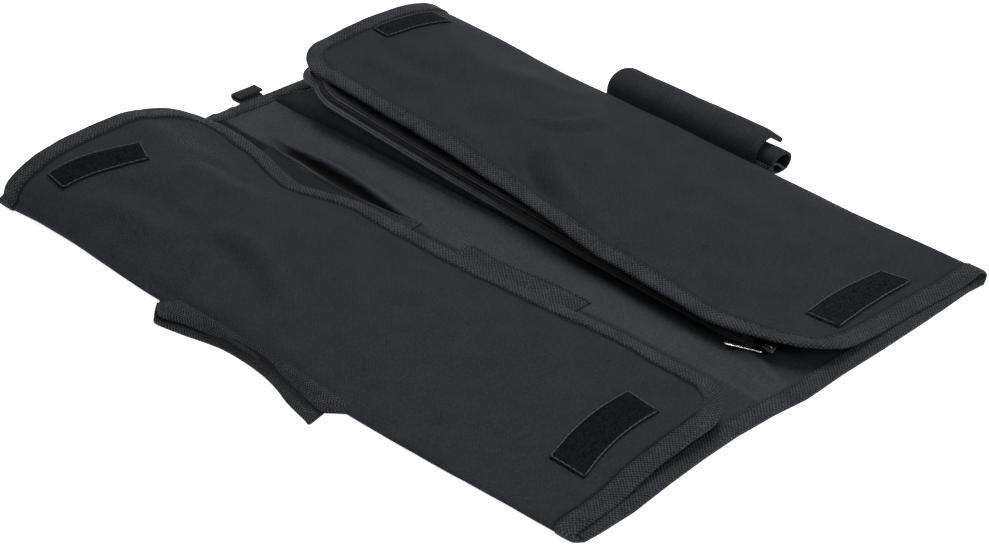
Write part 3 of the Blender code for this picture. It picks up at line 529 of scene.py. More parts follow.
# ------------------------------------------------------------------ the flaps
class Drape:
    """A flap's cloth: distance e from its inner edge, over the crown and down the long fold."""

    ACROSS = 261

    def __init__(self, stations, side, bulge, ridges, seed):
        self.bow = LEFT_BOW if side < 0 else RIGHT_BOW
        self.retreat = 6.0 if side < 0 else 3.5
        self.stations, self.side, self.bulge = stations, side, bulge
        self.ridges, self.seed = ridges, seed
        self.ys = np.arange(-238.0, 238.1, 2.0)
        table, self.totals, self.crowns = [], [], []
        for y in self.ys:
            p, s, crown = self.section(y)
            e = np.linspace(0, s[-1], self.ACROSS)
            table.append(grid(np.interp(e, s, p[:, 0]), y, np.interp(e, s, p[:, 1])))
            self.totals.append(s[-1])
            self.crowns.append(crown)
        self.table = np.asarray(table)
        weights = np.exp(-((np.arange(-6, 7) * 2.0 / 6.0) ** 2))
        padded = np.pad(self.table, ((6, 6), (0, 0), (0, 0)), mode="edge")
        soft = sum(w * padded[k : k + len(self.ys)] for k, w in enumerate(weights)) / weights.sum()
        self.table[..., [0, 2]] = soft[..., [0, 2]]
        self.normals = normals_of(self.table)
        self.totals, self.crowns = np.asarray(self.totals), np.asarray(self.crowns)

    def section(self, y):
        """The cross-section at y as (X, Z) points, their distances, and the crown's distance."""
        ys = [s[0] for s in self.stations]
        i = max([k for k in range(len(ys) - 1) if ys[k] <= y] or [0])
        t = min(max((y - ys[i]) / (ys[i + 1] - ys[i]), -0.2), 1.2)
        t = t * t * (3 - 2 * t) * 0.35 + t * 0.65 if 0 < t < 1 else t
        points = np.array(self.stations[i][1]) * (1 - t) + np.array(self.stations[i + 1][1]) * t
        bow = float(np.interp(y, self.bow[0], self.bow[1]))
        points[:3, 0] += self.side * bow * np.array((0.75, 0.5, 0.2))
        flap = curve_through(points, 81)[::-1]
        top = points[0]
        u = np.linspace(1, 0, 13)[1:]
        low = np.array((self.side * (HALF_WIDTH - 0.8), 0.5))
        fold = low + (top - low) * u[:, None]
        fold[:, 0] += self.side * (self.bulge + max(bow, 0) * 0.6) * np.sin(math.pi * u) ** 0.8
        p = np.vstack([flap, fold])
        s = run(p)
        return p, s, s[len(flap) - 1]

    def total(self, y):
        return np.interp(y, self.ys, self.totals)

    def crown(self, y):
        return np.interp(y, self.ys, self.crowns)

    def sample(self, table, e, y):
        f = np.clip(e / self.total(y), 0, 1) * (self.ACROSS - 1)
        r = np.clip((y - self.ys[0]) / 2.0, 0, len(self.ys) - 1.001)
        i, j = r.astype(int), np.minimum(f.astype(int), self.ACROSS - 2)
        a, b = (r - i)[..., None], (f - j)[..., None]
        low = table[i, j] * (1 - b) + table[i, j + 1] * b
        high = table[i + 1, j] * (1 - b) + table[i + 1, j + 1] * b
        return low * (1 - a) + high * a

    def relief(self, e, y):
        """Wrinkles: ridges, soft unevenness, and puckers along the binding."""
        w = np.zeros(e.shape)
        for (e0, y0), (e1, y1), width, height in self.ridges:
            d = np.array((e1 - e0, y1 - y0), float)
            t = ((e - e0) * d[0] + (y - y0) * d[1]) / (d @ d)
            off = ((e - e0) * d[1] - (y - y0) * d[0]) / math.sqrt(d @ d)
            bend = 6.0 * np.sin(math.pi * np.clip(t, 0, 1))
            ends = smooth(t, -0.25, 0.3) * (1 - smooth(t, 0.7, 1.25))
            w += height * hump(off, bend, width) * ends
        w = w * 2.2
        w += 1.5 * ripple(e, y, 46.0, self.seed) + 0.6 * ripple(e, y, 19.0, self.seed + 3)
        ends = np.minimum(e, np.minimum(y - FLAP_NEAR, FLAP_FAR - y))
        pucker = ripple(e * 0.25, y, 7.5, self.seed + 7) + ripple(e, y * 0.25, 7.5, self.seed + 9)
        w += 0.55 * pucker * hump(ends, 13.0, 9.0)
        return w * (1 - smooth(e, self.crown(y) - 14, self.crown(y) + 2))

    def surface(self, e, y, lift=0.0):
        e, y = np.broadcast_arrays(np.asarray(e, float), np.asarray(y, float))
        p = self.sample(self.table, e, y)
        n = self.sample(self.normals, e, y)
        n = n / np.linalg.norm(n, axis=-1, keepdims=True)
        p = p + n * (self.relief(e, y) + lift)[..., None]
        past = np.clip((e - self.crown(y)) / (self.total(y) - self.crown(y)), 0, 1)
        p[..., 1] += np.sign(y) * 4.0 * past * smooth(np.abs(y), 150, 222)
        back = smooth(self.crown(y) - e, 8, 90) * smooth(-y, 165, 222)
        p[..., 1] += self.retreat * back
        p[..., 2] = np.maximum(p[..., 2], 0.05)
        return p, n


def corner_start(y, inset, radius):
    """Distance from the inner edge where a row at y begins, on the rounded corner."""
    d = max(FLAP_NEAR + radius - y, y - (FLAP_FAR - radius), 0.0)
    reach = radius - inset
    return radius - math.sqrt(max(reach * reach - d * d, 0.0)) if d else inset


def flap_panel(name, drape, radius, slot, where, nodes, lift, thick, inset=1.0, end="fold"):
    near, far = FLAP_NEAR + inset, FLAP_FAR - inset
    k = np.linspace(0, 1, 171)
    ys = near + (far - near) * (k - 0.055 * np.sin(2 * math.pi * k))
    share = np.linspace(0, 1, 92)
    share = share - 0.04 * np.sin(2 * math.pi * share)
    e = []
    for y in ys:
        start = corner_start(y, inset, radius)
        stop = drape.total(y) if end == "fold" else drape.crown(y) - 6.0
        e.append(start + (stop - start) * share)
    e = np.asarray(e)
    y = np.broadcast_to(ys[:, None], e.shape)
    top, _ = drape.surface(e, y, lift)
    edge = np.array([[corner_start(b, 0.0, radius) for b in ys]]).T
    inward = np.minimum(e - edge, np.minimum(y - FLAP_NEAR, FLAP_FAR - y))
    # Painted shadow: a dark line on the flap's cloth just inside the binding's inner edge, stronger on
    # the left flap.
    line = (0.95 if drape.side < 0 else 0.45) * hump(inward, BINDING + 0.8, 1.1)
    obj = layer(name, top, thick, slot, uv=np.stack([e, y], -1), depth=line)
    place(obj, where, *nodes)
    width = float(np.mean(drape.total(ys) if end == "fold" else drape.crown(ys)))
    cut()


# The folded tape in section, round a flap's edge: inward from the edge, and up from the cloth.
BINDING_RING = np.array((
    (12.0, 0.1), (11.8, 0.6), (10.4, 0.75), (7.0, 0.95), (3.2, 0.9), (1.3, 0.7), (0.2, 0.2),
    (-0.1, -0.6), (0.2, -1.4), (1.2, -1.8), (3.2, -1.95), (11.7, -1.95), (12.0, -1.75),
))


def flap_edge(drape, radius, spacing=2.0):
    """Points (e, y) round the flap's edge with the direction inward, from fold to fold."""
    path = []
    corner_steps = int(radius * math.pi / 2 / spacing)
    for end, sign in ((FLAP_FAR, 1), (FLAP_NEAR, -1)):
        stop = float(drape.total(end))
        steps = int((stop - radius) / spacing)
        run = [(stop + (radius - stop) * k / steps, end, 0.0, -sign) for k in range(steps)]
        turn = []
        for k in range(corner_steps + 1):
            a = math.pi / 2 * k / corner_steps
            x, y = -math.sin(a), sign * math.cos(a)
            turn.append((radius + radius * x, end - sign * radius + radius * y, -x, -y))
        path.append(run + turn)
    low, high = FLAP_NEAR + radius, FLAP_FAR - radius
    steps = int((high - low) / spacing)
    edge = [(0.0, high + (low - high) * k / steps, 1.0, 0.0) for k in range(1, steps)]
    return np.asarray(path[0] + edge + path[1][::-1])


SEAM_INWARD = 10.9  # the binding's row of stitches, from its folded edge


def flap_binding(name, drape, radius, where, node):
    path = flap_edge(drape, radius)
    count = len(path)
    wide = 1.0 + 0.09 * ripple(np.arange(count) * 2.0, np.zeros(count), 30.0, drape.seed + 20)
    d, h = BINDING_RING.T
    reach = d[None, :] * wide[:, None]
    e = path[:, :1] + path[:, 2:3] * reach
    y = path[:, 1:2] + path[:, 3:4] * reach
    swell = 0.25 * ripple(np.arange(count)[:, None] * 2.0, d[None, :] * 0.6, 6.0, drape.seed + 30)
    rings, _ = drape.surface(e, y, h[None, :] + swell * (h[None, :] > 0))
    obj = tube(name, rings, "binding_tape")
    place(obj, where, node)
    seam = SEAM_INWARD * wide
    p, n = drape.surface(path[:, 0] + path[:, 2] * seam, path[:, 1] + path[:, 3] * seam, 0.72)
    row = stitches(name + "_stitching", p, n, beside(p, n), where)
    cut()


def patch(name, drape, corners, bow, slot, body, node):
    """A hook-and-loop patch: (e, Y) corners in order, with a sewn border."""
    c = np.asarray(corners, float)
    columns, rows = 60, 19
    s, t = np.meshgrid(np.linspace(0, 1, columns), np.linspace(0, 1, rows))
    ey = (
        c[0] * ((1 - s) * (1 - t))[..., None]
        + c[1] * (s * (1 - t))[..., None]
        + c[2] * (s * t)[..., None]
        + c[3] * ((1 - s) * t)[..., None]
    )
    ey[..., 1] += bow * np.sin(math.pi * s)
    border = np.minimum(np.minimum(s, 1 - s) * 76, np.minimum(t, 1 - t) * 22)
    lift = 0.35 + 1.0 * smooth(border, 0, 1.2) + 0.35 * smooth(border, 1.6, 3.0)
    lift += 0.3 * ripple(ey[..., 0], ey[..., 1], 2.2, 5.0) * smooth(border, 2, 4)
    top, n = drape.surface(ey[..., 0], ey[..., 1], lift)
    under, _ = drape.surface(ey[..., 0], ey[..., 1], 0.15)
    obj = layer(name, top, 1.0, slot, uv=ey, under=under)
    place(obj, body, node)
    to_middle = c.mean(0) - c
    inner = c + to_middle / np.linalg.norm(to_middle, axis=1, keepdims=True) * 1.2
    share = np.linspace(0, 1, 24)
    loop = []
    for k in range(4):
        side = inner[k] + (inner[(k + 1) % 4] - inner[k]) * share[:, None]
        side[:, 1] += bow * np.sin(math.pi * share) * (k in (0, 2))
        loop.append(side)
    ring = np.vstack(loop)
    p, n = drape.surface(ring[:, 0], ring[:, 1], 1.45)
    sewing = stitches(name + "_stitching", p, n, beside(p, n), body, 4.0, 0.05, 0.42,
                      thread="edge_thread")
    cut()


def make_flap(side, stations, radius, bulge, ridges, seed, where, tape, patches):
    """A flap's outer cloth with its long fold, its lining, its binding and its two patches."""
    drape = Drape(stations, -1 if side == "left" else 1, bulge, ridges, seed)
    flap_panel(f"flap_{side}_cloth", drape, radius, "outer_fabric", where,
               [f"flap_{side}_panel", f"fold_{side}"], 0.0, 0.8)
    flap_panel(f"flap_{side}_inner_cloth", drape, radius, "lining_fabric", f"{side}_flap",
               [f"flap_{side}_lining"], -1.0, 0.6, inset=1.2, end="crown")
    flap_binding(f"flap_{side}_bound_edge", drape, radius, where, f"flap_{side}_binding")
    for end, corners, bow in patches:
        node = f"{tape}_patch_{end}"
        patch(node + "_cloth", drape, corners, bow, tape + "_tape", f"{side}_flap", node)
    return drape


# ------------------------------------------------------------------ the base
# The far pocket: the crest of the lining behind its mouth, and its lip, as Y, X and height.
RIDGE_FAR = np.array((
    (30, -20, 0), (42, -20, 1.0), (59, -23.5, 3.2), (71, -23, 5.0), (89, -20.8, 6.4),
    (108, -19.4, 7.2), (128, -18.5, 7.0), (149, -17.5, 5.2), (163, -15.5, 2.4), (186, -12, 0)))
LIP_FAR = np.array((
    (42, -20.5, 0.4), (52, -24.5, 1.0), (66, -28.5, 1.8), (84, -31.5, 2.6), (103, -32.5, 3.2),
    (122, -31.5, 3.4), (144, -28, 3.0), (161, -25.5, 1.6), (174, -21, 0.4)))


def line_at(y, table):
    """X and height at y of a line given as rows of Y, X and height."""
    return np.interp(y, table[:, 0], table[:, 1]), np.interp(y, table[:, 0], table[:, 2])


def floor_height(x, y):
    """Z of the lining: nearly flat, with a soft ridge behind the far pocket and a few folds."""
    x, y = np.broadcast_arrays(np.asarray(x, float), np.asarray(y, float))
    line, high = line_at(y, RIDGE_FAR)
    d = x - line
    z = LINING_TOP + high * np.where(d > 0, hump(d, 0, 10.0), hump(d, 0, 3.0))
    z = z + 1.5 * hump(x + 32, 0.08 * (y - 190), 8.0) * smooth(y, 150, 190) * (1 - smooth(y, 214, 228))
    fold = x - (8.0 + 0.33 * (y + 200))
    z = z + 2.6 * hump(fold, 0, 5.5) * smooth(y, -226, -205) * (1 - smooth(y, -185, -150))
    z = z + 1.2 * hump(x + 18, 0.1 * (y + 190), 7.0) * smooth(y, -224, -205) * (1 - smooth(y, -170, -120))
    z = z + 0.5 * (1 + ripple(x, y, 30.0, 11.0)) * smooth(x, -40, -25) * (1 - smooth(x, 18, 30))
    gather = ripple(x, y * 0.3, 6.0, 21.0) + 0.6 * ripple(x, y * 0.3, 14.0, 22.0)
    z = z + 1.1 * (0.6 + gather) * smooth(y, 196, 214) * smooth(x, -60, -30) * (1 - smooth(x, 40, 60))
    return z


# Where the left flap's edge hides the lining: Y, X, and how open the gap under it is.
SHADOW_LINE = ((-230, -120, -43, 32, 75, 90, 116, 133, 150, 172, 190, 240),
               (-23, -21, -27, -28.5, -27, -29.5, -35.5, -37, -33, -27, -27, -26),
               (0.3, 0.5, 0.5, 0.6, 0.7, 1.0, 1.0, 1.0, 1.0, 1.0, 1.0, 1.0))


def left_flap_edge_shadow(x, y):
    """Painted shadow on the cloth just under the left flap's edge, from 0 to 1."""
    line, gap = np.interp(y, *SHADOW_LINE[:2]), np.interp(y, SHADOW_LINE[0], SHADOW_LINE[2])
    return 0.98 * gap * (1 - smooth(x - line, 1.0 * gap, 5.0 * gap))


def floor_painted_shade(x, y):
    """How much painted shade the lining gets: under the flaps, inside the pocket's slit, and along the
    foot of the pouch's wall.
    """
    line, high = line_at(y, RIDGE_FAR)
    opened = np.clip(high / 6.8 * 2.2, 0, 1)
    slit = (1 - smooth(x - line, -2.2, -0.6)) * smooth(x, -60, -38) * opened
    right = smooth(x, 26.5, 34) * (0.9 - 0.55 * smooth(-y, 185, 212))
    near = smooth(-y, -20, 60) * smooth(x, 0, 18) * 0.92 * (1 - 0.75 * smooth(-y, 172, 206))
    seam = 0.8 * hump(x, 25.0, 0.8) * smooth(y, -60, -40)
    return np.maximum.reduce([slit, right, left_flap_edge_shadow(x, y), near, seam])


SHELL_EDGE = 191.2  # the shell runs out into the long folds


def wavy_grid(xs, ys):
    """A flat grid whose near rows follow the base's wavy near edge."""
    x, y = np.meshgrid(xs, ys)
    return x, y - np.interp(x, *NEAR_EDGE) * smooth(-y, 196, 228)


def base_layers():
    sides = (("left", -188.5, SEAM_X, SPINE_TO_LEFT), ("right", SEAM_X, 188.5, SPINE_TO_RIGHT))
    for side, low, high, where in sides:
        middle, before, after = (-46, 30, 34) if side == "left" else (44, 48, 26)
        xs = np.concatenate([np.linspace(low, middle, before)[:-1], np.linspace(middle, high, after)])
        ys = np.linspace(-HALF_LENGTH + 2, HALF_LENGTH - 2, 190)
        x, y = wavy_grid(xs, ys)
        top = grid(x, y, floor_height(x, y))
        under = top.copy()
        under[..., 2] = 1.25 + (top[..., 2] - LINING_TOP) * 0.9
        obj = layer(f"lining_{side}_cloth", top, 0.65, "lining_fabric",
                    uv=np.stack([x, y], -1), depth=floor_painted_shade(x, y), under=under)
        place(obj, where, f"lining_{side}", *["lining_spine"] * (side == "left"))
        cut()
        low, high = (-SHELL_EDGE, SEAM_X) if side == "left" else (SEAM_X, SHELL_EDGE)
        ys = np.linspace(-HALF_LENGTH + 1.0, HALF_LENGTH - 1.0, 120)
        x, y = wavy_grid(np.linspace(low, high, 110), ys)
        sag = 0.12 * ripple(x, y, 25.0, 31.0)
        top, under = grid(x, y, 1.05 + sag * 0.3), grid(x, y, 0.38 + sag)
        obj = layer(f"shell_{side}_cloth", top, 0.6, "outer_fabric",
                    uv=np.stack([x, y], -1), under=under)
        place(obj, where, f"shell_{side}", *["shell_spine"] * (side == "left"))
        cut()
        for end, sign in (("far", 1), ("near", -1)):
            base_binding(side, end, sign, low, high, where)


BASE_RING = np.array((
    (12.5, 0.4), (12.2, 1.1), (10.8, 1.5), (7.0, 1.65), (3.0, 1.5), (1.1, 1.0), (0.0, 0.0),
    (0.1, -1.0), (1.1, -1.75), (3.0, -1.95), (12.2, -1.95), (12.5, -1.4),
))


def base_binding(side, end, sign, low, high, where):
    count = 118
    xs = np.linspace(low, high, count)
    d, h = BASE_RING[None, :, 0], BASE_RING[None, :, 1]
    x = np.broadcast_to(xs[:, None], (count, d.shape[1]))
    wobble = 0.8 * ripple(xs, xs * 0, 34.0, 41.0 + sign)[:, None]
    if sign < 0:
        wobble = wobble + 2.0 * np.interp(xs, *NEAR_EDGE)[:, None]
    y = sign * (HALF_LENGTH - 0.4 - d + wobble * 0.5 - 0.5)
    z = 1.97 + h + 0.22 * ripple(x, d * 0.7, 5.0, 45.0 + sign) * (h > 0)
    bed = floor_height(x, sign * (HALF_LENGTH - 12.5)) - LINING_TOP
    z = z + np.where(h > 0, bed * smooth(d, 0, 12) * 0.8, 0)
    obj = tube(f"base_{side}_{end}_bound_edge", grid(x, y, np.maximum(z, 0.02)), "binding_tape")
    place(obj, where, f"binding_{side}_{end}", *[f"binding_spine_{end}"] * (side == "left"))
    seam_y = sign * (HALF_LENGTH - 11.4 + wobble[:, 0] * 0.5)
    path = grid(xs, seam_y, 3.45 + bed[:, 0] * 0.8)
    up, across = (np.tile(way, (count, 1)) for way in ((0, 0, 1.0), (0, 1.0, 0)))
    sewing = stitches(f"base_{side}_{end}_stitching", path, up, across, where)
    cut()


# ------------------------------------------------------------------ the stick pockets
POCKET_END = -167.0  # where both pockets end, deep under the left flap


def pocket_far():
    """The far pocket's upper layer, standing open at its lip."""
    ys = np.linspace(42.5, 173.5, 90)
    lip_x, lip_z = line_at(ys, LIP_FAR)
    share = 1 - (1 - np.linspace(0, 1, 60)) ** 1.6
    x = POCKET_END + (lip_x[:, None] - POCKET_END) * share[None, :]
    y = np.broadcast_to(ys[:, None], x.shape)
    back = lip_x[:, None] - x
    z = LINING_TOP + 0.75 + (lip_z[:, None] * 1.25) * np.exp(-((back / 14.0) ** 2))
    z = z + 0.25 * ripple(x, y, 12.0, 61.0)
    z = z + 0.55 * smooth(back, 4.6, 3.6) * (1 - smooth(back, 1.2, 0.2))
    # Painted shade: darker deep inside the pocket, in two thin lines at the lip, and in the left flap's
    # edge shadow.
    depth = smooth(back, 11, 26) * 0.75 + 0.35 * hump(back, 4.3, 0.5) + 0.2 * hump(back, 5.9, 0.4)
    depth = np.maximum(depth, 0.7 * left_flap_edge_shadow(x, y))
    obj = layer("pocket_far_cloth", grid(x, y, z), 0.6, "lining_fabric",
                uv=np.stack([x, y], -1), depth=depth)
    place(obj, SPINE_TO_LEFT, "pocket_panel_far", "pocket_hem_far")
    path = grid(lip_x - 3.0, ys, LINING_TOP + 0.75 + lip_z * 1.22 + 0.6)
    up, across = (np.tile(way, (len(ys), 1)) for way in ((0.2, 0, 0.98), (1.0, 0, 0)))
    sewing = stitches("pocket_far_stitching", path, up, across, SPINE_TO_LEFT, slot="lining_fabric")
    cut()


# The near pocket's mouth, as Y, X and height, and the section of the tape that binds it.
MOUTH_NEAR = np.array((
    (-90, -13.5, 0.1), (-83, -11.5, 0.2), (-62, -12.5, 0.7), (-42, -15.5, 0.9),
    (-21, -18.5, 0.9), (2, -16.5, 0.4), (8, -21.5, 0.1)))
MOUTH_RING = np.array((
    (-24, 0.2), (-23.6, 0.5), (-16, 0.6), (-8, 0.65), (-3.4, 0.7), (-2.4, 0.25),
    (-1.5, 0.75), (-0.6, 0.65), (0, 0.25), (-0.4, -0.2), (-3, -0.45), (-23.6, -0.45)))


def pocket_near():
    """The near pocket's upper layer and its bound mouth."""
    ys = np.linspace(-86.5, 5.5, 70)
    mouth, rise = line_at(ys, MOUTH_NEAR)
    share = 1 - (1 - np.linspace(0, 1, 44)) ** 1.5
    stop = mouth - 22.0
    x = POCKET_END + (stop[:, None] - POCKET_END) * share[None, :]
    y = np.broadcast_to(ys[:, None], x.shape)
    z = LINING_TOP + 0.8 + rise[:, None] * 0.7 * smooth(x, -70, -30) + 0.2 * ripple(x, y, 12.0, 65.0)
    # Painted shade: the pocket cloth darkens deeper under the left flap.
    depth = 0.85 * (1 - smooth(x, -52, -38))
    obj = layer("pocket_near_cloth", grid(x, y, z), 0.6, "lining_fabric",
                uv=np.stack([x, y], -1), depth=depth)
    place(obj, "left_cover", "pocket_panel_near")
    cut()
    a, h = MOUTH_RING[None, :, 0], MOUTH_RING[None, :, 1]
    x = mouth[:, None] + a
    z = LINING_TOP + 0.75 + rise[:, None] * np.clip(1 + a / 26, 0, 1) + h
    # Painted shade in the groove between the band's two rolled edges.
    band = tube("pocket_near_bound_mouth", grid(x, ys[:, None], z), "binding_tape",
                depth=np.broadcast_to(0.8 * hump(a, -2.2, 0.5) * (h > 0), x.shape))
    place(band, SPINE_TO_LEFT, "pocket_hem_near")
    cut()


# ------------------------------------------------------------------ the zipped pouch
TAPE_STEPS, COIL_STEPS, TOOTH_PITCH = 150, 620, 1.3


def zip_line(t):
    """Points on the coil's straight run, which rises towards its far end; t is an array."""
    points = ZIP_NEAR + (ZIP_FAR - ZIP_NEAR) * t[:, None]
    points[:, 2] = ZIP_NEAR[2] + (ZIP_FAR[2] - ZIP_NEAR[2]) * t * t
    return points


def zip_path(count):
    """Coil centres along the arc and round the far corner, with the zip's direction in plan."""
    plan = (ZIP_FAR - ZIP_NEAR)[:2]
    plan = plan / np.linalg.norm(plan)
    t = ZIP_REACH * np.arange(count) / (count - 1)
    late = np.maximum(t - 0.96, 0.0) / 0.06
    straight = zip_line(t) + ZIP_LATE_SHIFT * (late * late)[:, None]
    end = straight[-1]
    centre = end[:2] + np.array((plan[1], -plan[0])) * ZIP_CORNER
    steps = max(2, int(count * 0.07))
    points, ways = [*straight], [plan] * count
    for k in range(1, steps + 1):
        a = -ZIP_TURN * k / steps
        turn = np.array(((math.cos(a), -math.sin(a)), (math.sin(a), math.cos(a))))
        points.append(np.append(centre + turn @ (end[:2] - centre), end[2]))
        ways.append(turn @ plan)
    points, ways = np.asarray(points), np.asarray(ways)
    inward = np.stack([ways[:, 1], -ways[:, 0], 0 * ways[:, 0]], -1)
    across = inward * math.cos(ZIP_TILT) + np.array((0, 0, math.sin(ZIP_TILT)))
    out = -inward * math.sin(ZIP_TILT) + np.array((0, 0, math.cos(ZIP_TILT)))
    return points, across, out, np.hstack([ways, 0 * ways[:, :1]])


def zip_tape(name, low, high, node):
    """One of the zip's tapes, from low to high across the zip."""
    p, across, out, _ = (rows[4:] for rows in zip_path(TAPE_STEPS))
    a = np.linspace(low, high, 15)
    cord = 0.35 * hump(a, low + (high - low) * (0.75 if low > 0 else 0.25), 0.9)
    flat = p[:, None] + across[:, None] * a[None, :, None]
    top = flat + out[:, None] * (0.55 + cord)[None, :, None]
    under = flat - out[:, None] * 0.4
    s = run(p)
    uv = np.stack(np.meshgrid(a, s), -1)
    shade = (0.75 * smooth(-p[:, 1], -60, 60))[:, None] + (0.9 * smooth(a, 3.2, 5.4))[None, :]
    obj = layer(name, top, 0.7, "zip_tape", uv=uv, under=under, depth=shade)
    place(obj, "right_cover", node)
    # The tape is 12 mm wide: the rest of it is sewn in between the layers beside it.
    cut(area=(high - low) * float(s[-1]))


def zip_teeth():
    """The coil: one thin loop of nylon across the zip for every tooth."""
    tables = zip_path(COIL_STEPS)
    s = run(tables[0])
    points, quads = [], []
    for k in range(9, int(s[-1] / TOOTH_PITCH)):
        at = k * TOOTH_PITCH
        c, ax, o, w = (np.array([np.interp(at, s, t[:, j]) for j in range(3)]) for t in tables)
        base = len(points)
        for u in np.linspace(-1, 1, 7):
            lift = 0.25 + 0.95 * math.sqrt(max(0.0, 1 - u * u * 0.96))
            for dw, dz in ((-0.42, 0), (0.42, 0), (0.42, -0.55), (-0.42, -0.55)):
                up = lift + dz * (1 - abs(u) * 0.4)
                points.append(c + ax * (u * 1.5) + o * up + w * (dw + 0.18 * u))
        for r in range(6):
            i = base + 4 * r
            quads += [(i + j, i + (j + 1) % 4, i + 4 + (j + 1) % 4, i + 4 + j) for j in range(4)]
        quads += [(base, base + 3, base + 2, base + 1),
                  (base + 24, base + 25, base + 26, base + 27)]
    points = np.asarray(points)
    obj = solid("zip_teeth", points, quads, points[np.asarray(quads)][..., :2], "zip_coil")
    place(obj, "right_cover", "zip_coil")


GUSSET_END = np.array((24.5, 223.0, 4.6))  # where the front wall's head meets the far binding
GUSSET_FOOT_Z = 2.3


def gusset():
    """The pouch's front wall, from its seam on the lining up to the zip, and on to the far end."""
    p, across, _, _ = (rows[64:TAPE_STEPS] for rows in zip_path(TAPE_STEPS))
    head = p - across * 5.3
    head[:, 2] -= 0.3
    onward = np.linspace(0, 1, 20)[1:, None]
    head = np.vstack([head, head[-1] + onward * (GUSSET_END - head[-1])])
    y, tall = head[:, 1], np.maximum(head[:, 2:] - GUSSET_FOOT_Z, 0.2)
    foot_x = (25.6 - 4.4 * smooth(y, 165, 223))[:, None]
    share = np.linspace(0, 1, 22)
    arch = np.sin(math.pi * share)
    crease = 0.6 * ripple(share * tall, y[:, None], 9.0, 71.0) * arch
    x = foot_x + (head[:, :1] - foot_x) * share - 0.07 * tall * arch + crease * np.minimum(1, tall / 8)
    z = GUSSET_FOOT_Z + (head[:, 2:] - GUSSET_FOOT_Z) * share
    top = grid(x, y[:, None], z)
    # Painted shade: darker towards the near end under the flap's overhang, at the far end, just under the
    # zip and at the wall's foot.
    depth = (0.85 * (1 - smooth(y, -60, 70)) + 0.5 * hump(y, 214, 6))[:, None]
    depth = depth + 0.6 * smooth(share, 0.55, 1.0) + 0.75 * hump(share, 0.0, 0.04)
    # The wall wears the lighter copy of the outer fabric, which is painted light.
    obj = layer("pouch_front_cloth", top, 0.7, "outer_fabric", under=top + (0.7, 0, 0),
                depth=depth, mat=MATS["pouch_cloth_painted_light"])
    place(obj, "right_cover", "pouch_gusset")
    length = float(y[-1] - y[0])
    area = float(np.sum(np.linalg.norm(np.diff(top, axis=1), axis=2).sum(1)) * length / len(y))
    cut(area=max(area, 0.31 * 21 * length))


def pouch_top(drape):
    """The pouch's upper layer, from the zip's inner tape to the long fold."""
    ys = np.linspace(-186.0, 209.0, 118)
    coil = zip_line((ys - ZIP_NEAR[1]) / (ZIP_FAR[1] - ZIP_NEAR[1]))
    rows = []
    for y, (cx, _, cz) in zip(ys, coil):
        turned = min(max(y - 190.0, 0.0), 19.5)
        cx += ZIP_CORNER - math.sqrt(ZIP_CORNER**2 - turned**2)
        start_x, start_z = cx + 6.4 * math.cos(ZIP_TILT), cz + 6.4 * math.sin(ZIP_TILT)
        x = start_x + (183.0 - start_x) * np.linspace(0, 1, 56)
        e = np.linspace(0, float(drape.crown(y)), 120)
        p, _ = drape.surface(e, y)
        order = np.argsort(p[:, 0])
        under = np.interp(x, p[order, 0], p[order, 2]) - 4.0
        rise = np.clip((x - start_x) / 30.0, 0, 1)
        z = start_z + (under - start_z) * rise * rise * (3 - 2 * rise)
        z = np.maximum(np.minimum(z, np.maximum(under, 3.3)), 3.3)
        z = z - 0.5 - 0.3 * ripple(x, y, 18.0, 81.0)
        rows.append(grid(x, y, np.maximum(z, 2.9)))
    top = np.asarray(rows)
    # Painted shade: the whole layer is darkened evenly, as it lies under the right flap.
    obj = layer("pouch_top_cloth", top, 0.7, "lining_fabric", depth=np.full(top.shape[:2], 0.6))
    place(obj, "right_cover", "pouch_panel")
    cut()


def slider_and_pull():
    """The slider's body and bail over the coil, and the flat bright pull."""
    c, ax, o, w = (table[0] for table in zip_path(COIL_STEPS))
    # The body's sections: distance along the zip, half width and half height.
    body = ((-4.4, 1.6, 0.4), (-3.8, 2.3, 0.85), (-1.0, 2.7, 0.95),
            (1.5, 3.1, 0.95), (3.6, 3.2, 0.85), (4.4, 2.6, 0.4))
    rings = [[c - w * a + ax * half * squared(math.cos(t), 0.6)
              + o * (2.1 + tall * squared(math.sin(t), 0.7)) for t in turns(20)]
             for a, half, tall in body]
    body = tube("zip_slider_body", rings, "bright_metal", mat=MATS["dark_metal"])
    place(body, "slider", "zip_slider")
    bail = []
    for k in range(15):
        t = math.pi * k / 14
        q = c - w * (3.0 * math.cos(t)) + o * (2.9 + 1.5 * math.sin(t))
        outward = o * math.sin(t) - w * math.cos(t)
        bail.append([q + ax * 0.9 * math.cos(r) + outward * 0.4 * math.sin(r) for r in turns(10)])
    bail = tube("zip_slider_bail", bail, "bright_metal", mat=MATS["dark_metal"])
    place(bail, "slider")
    head, tip = np.array((17.4, -190.0, 6.4)), np.array((10.4, -167.5, 5.0))
    way = (tip - head) / np.linalg.norm(tip - head)
    sidew = np.cross(way, (0, 0, 1.0))
    sidew /= np.linalg.norm(sidew)
    up = np.cross(sidew, way)
    total = np.linalg.norm(tip - head)
    # The pull's outline: distance from its head, and half width.
    outline = ((0.4, 1.1), (1.0, 1.5), (2.5, 1.6), (5, 1.35), (10, 1.45),
               (16, 1.75), (20.5, 1.95), (22.4, 1.7), (23.2, 1.0))
    rings = [[head + way * min(a, total) + sidew * half * squared(math.cos(r), 0.55)
              + up * 0.42 * squared(math.sin(r), 0.6) for r in turns(16)]
             for a, half in outline]
    pull = tube("zip_pull_tab", rings, "bright_metal")
    place(pull, "pull", "zip_pull")


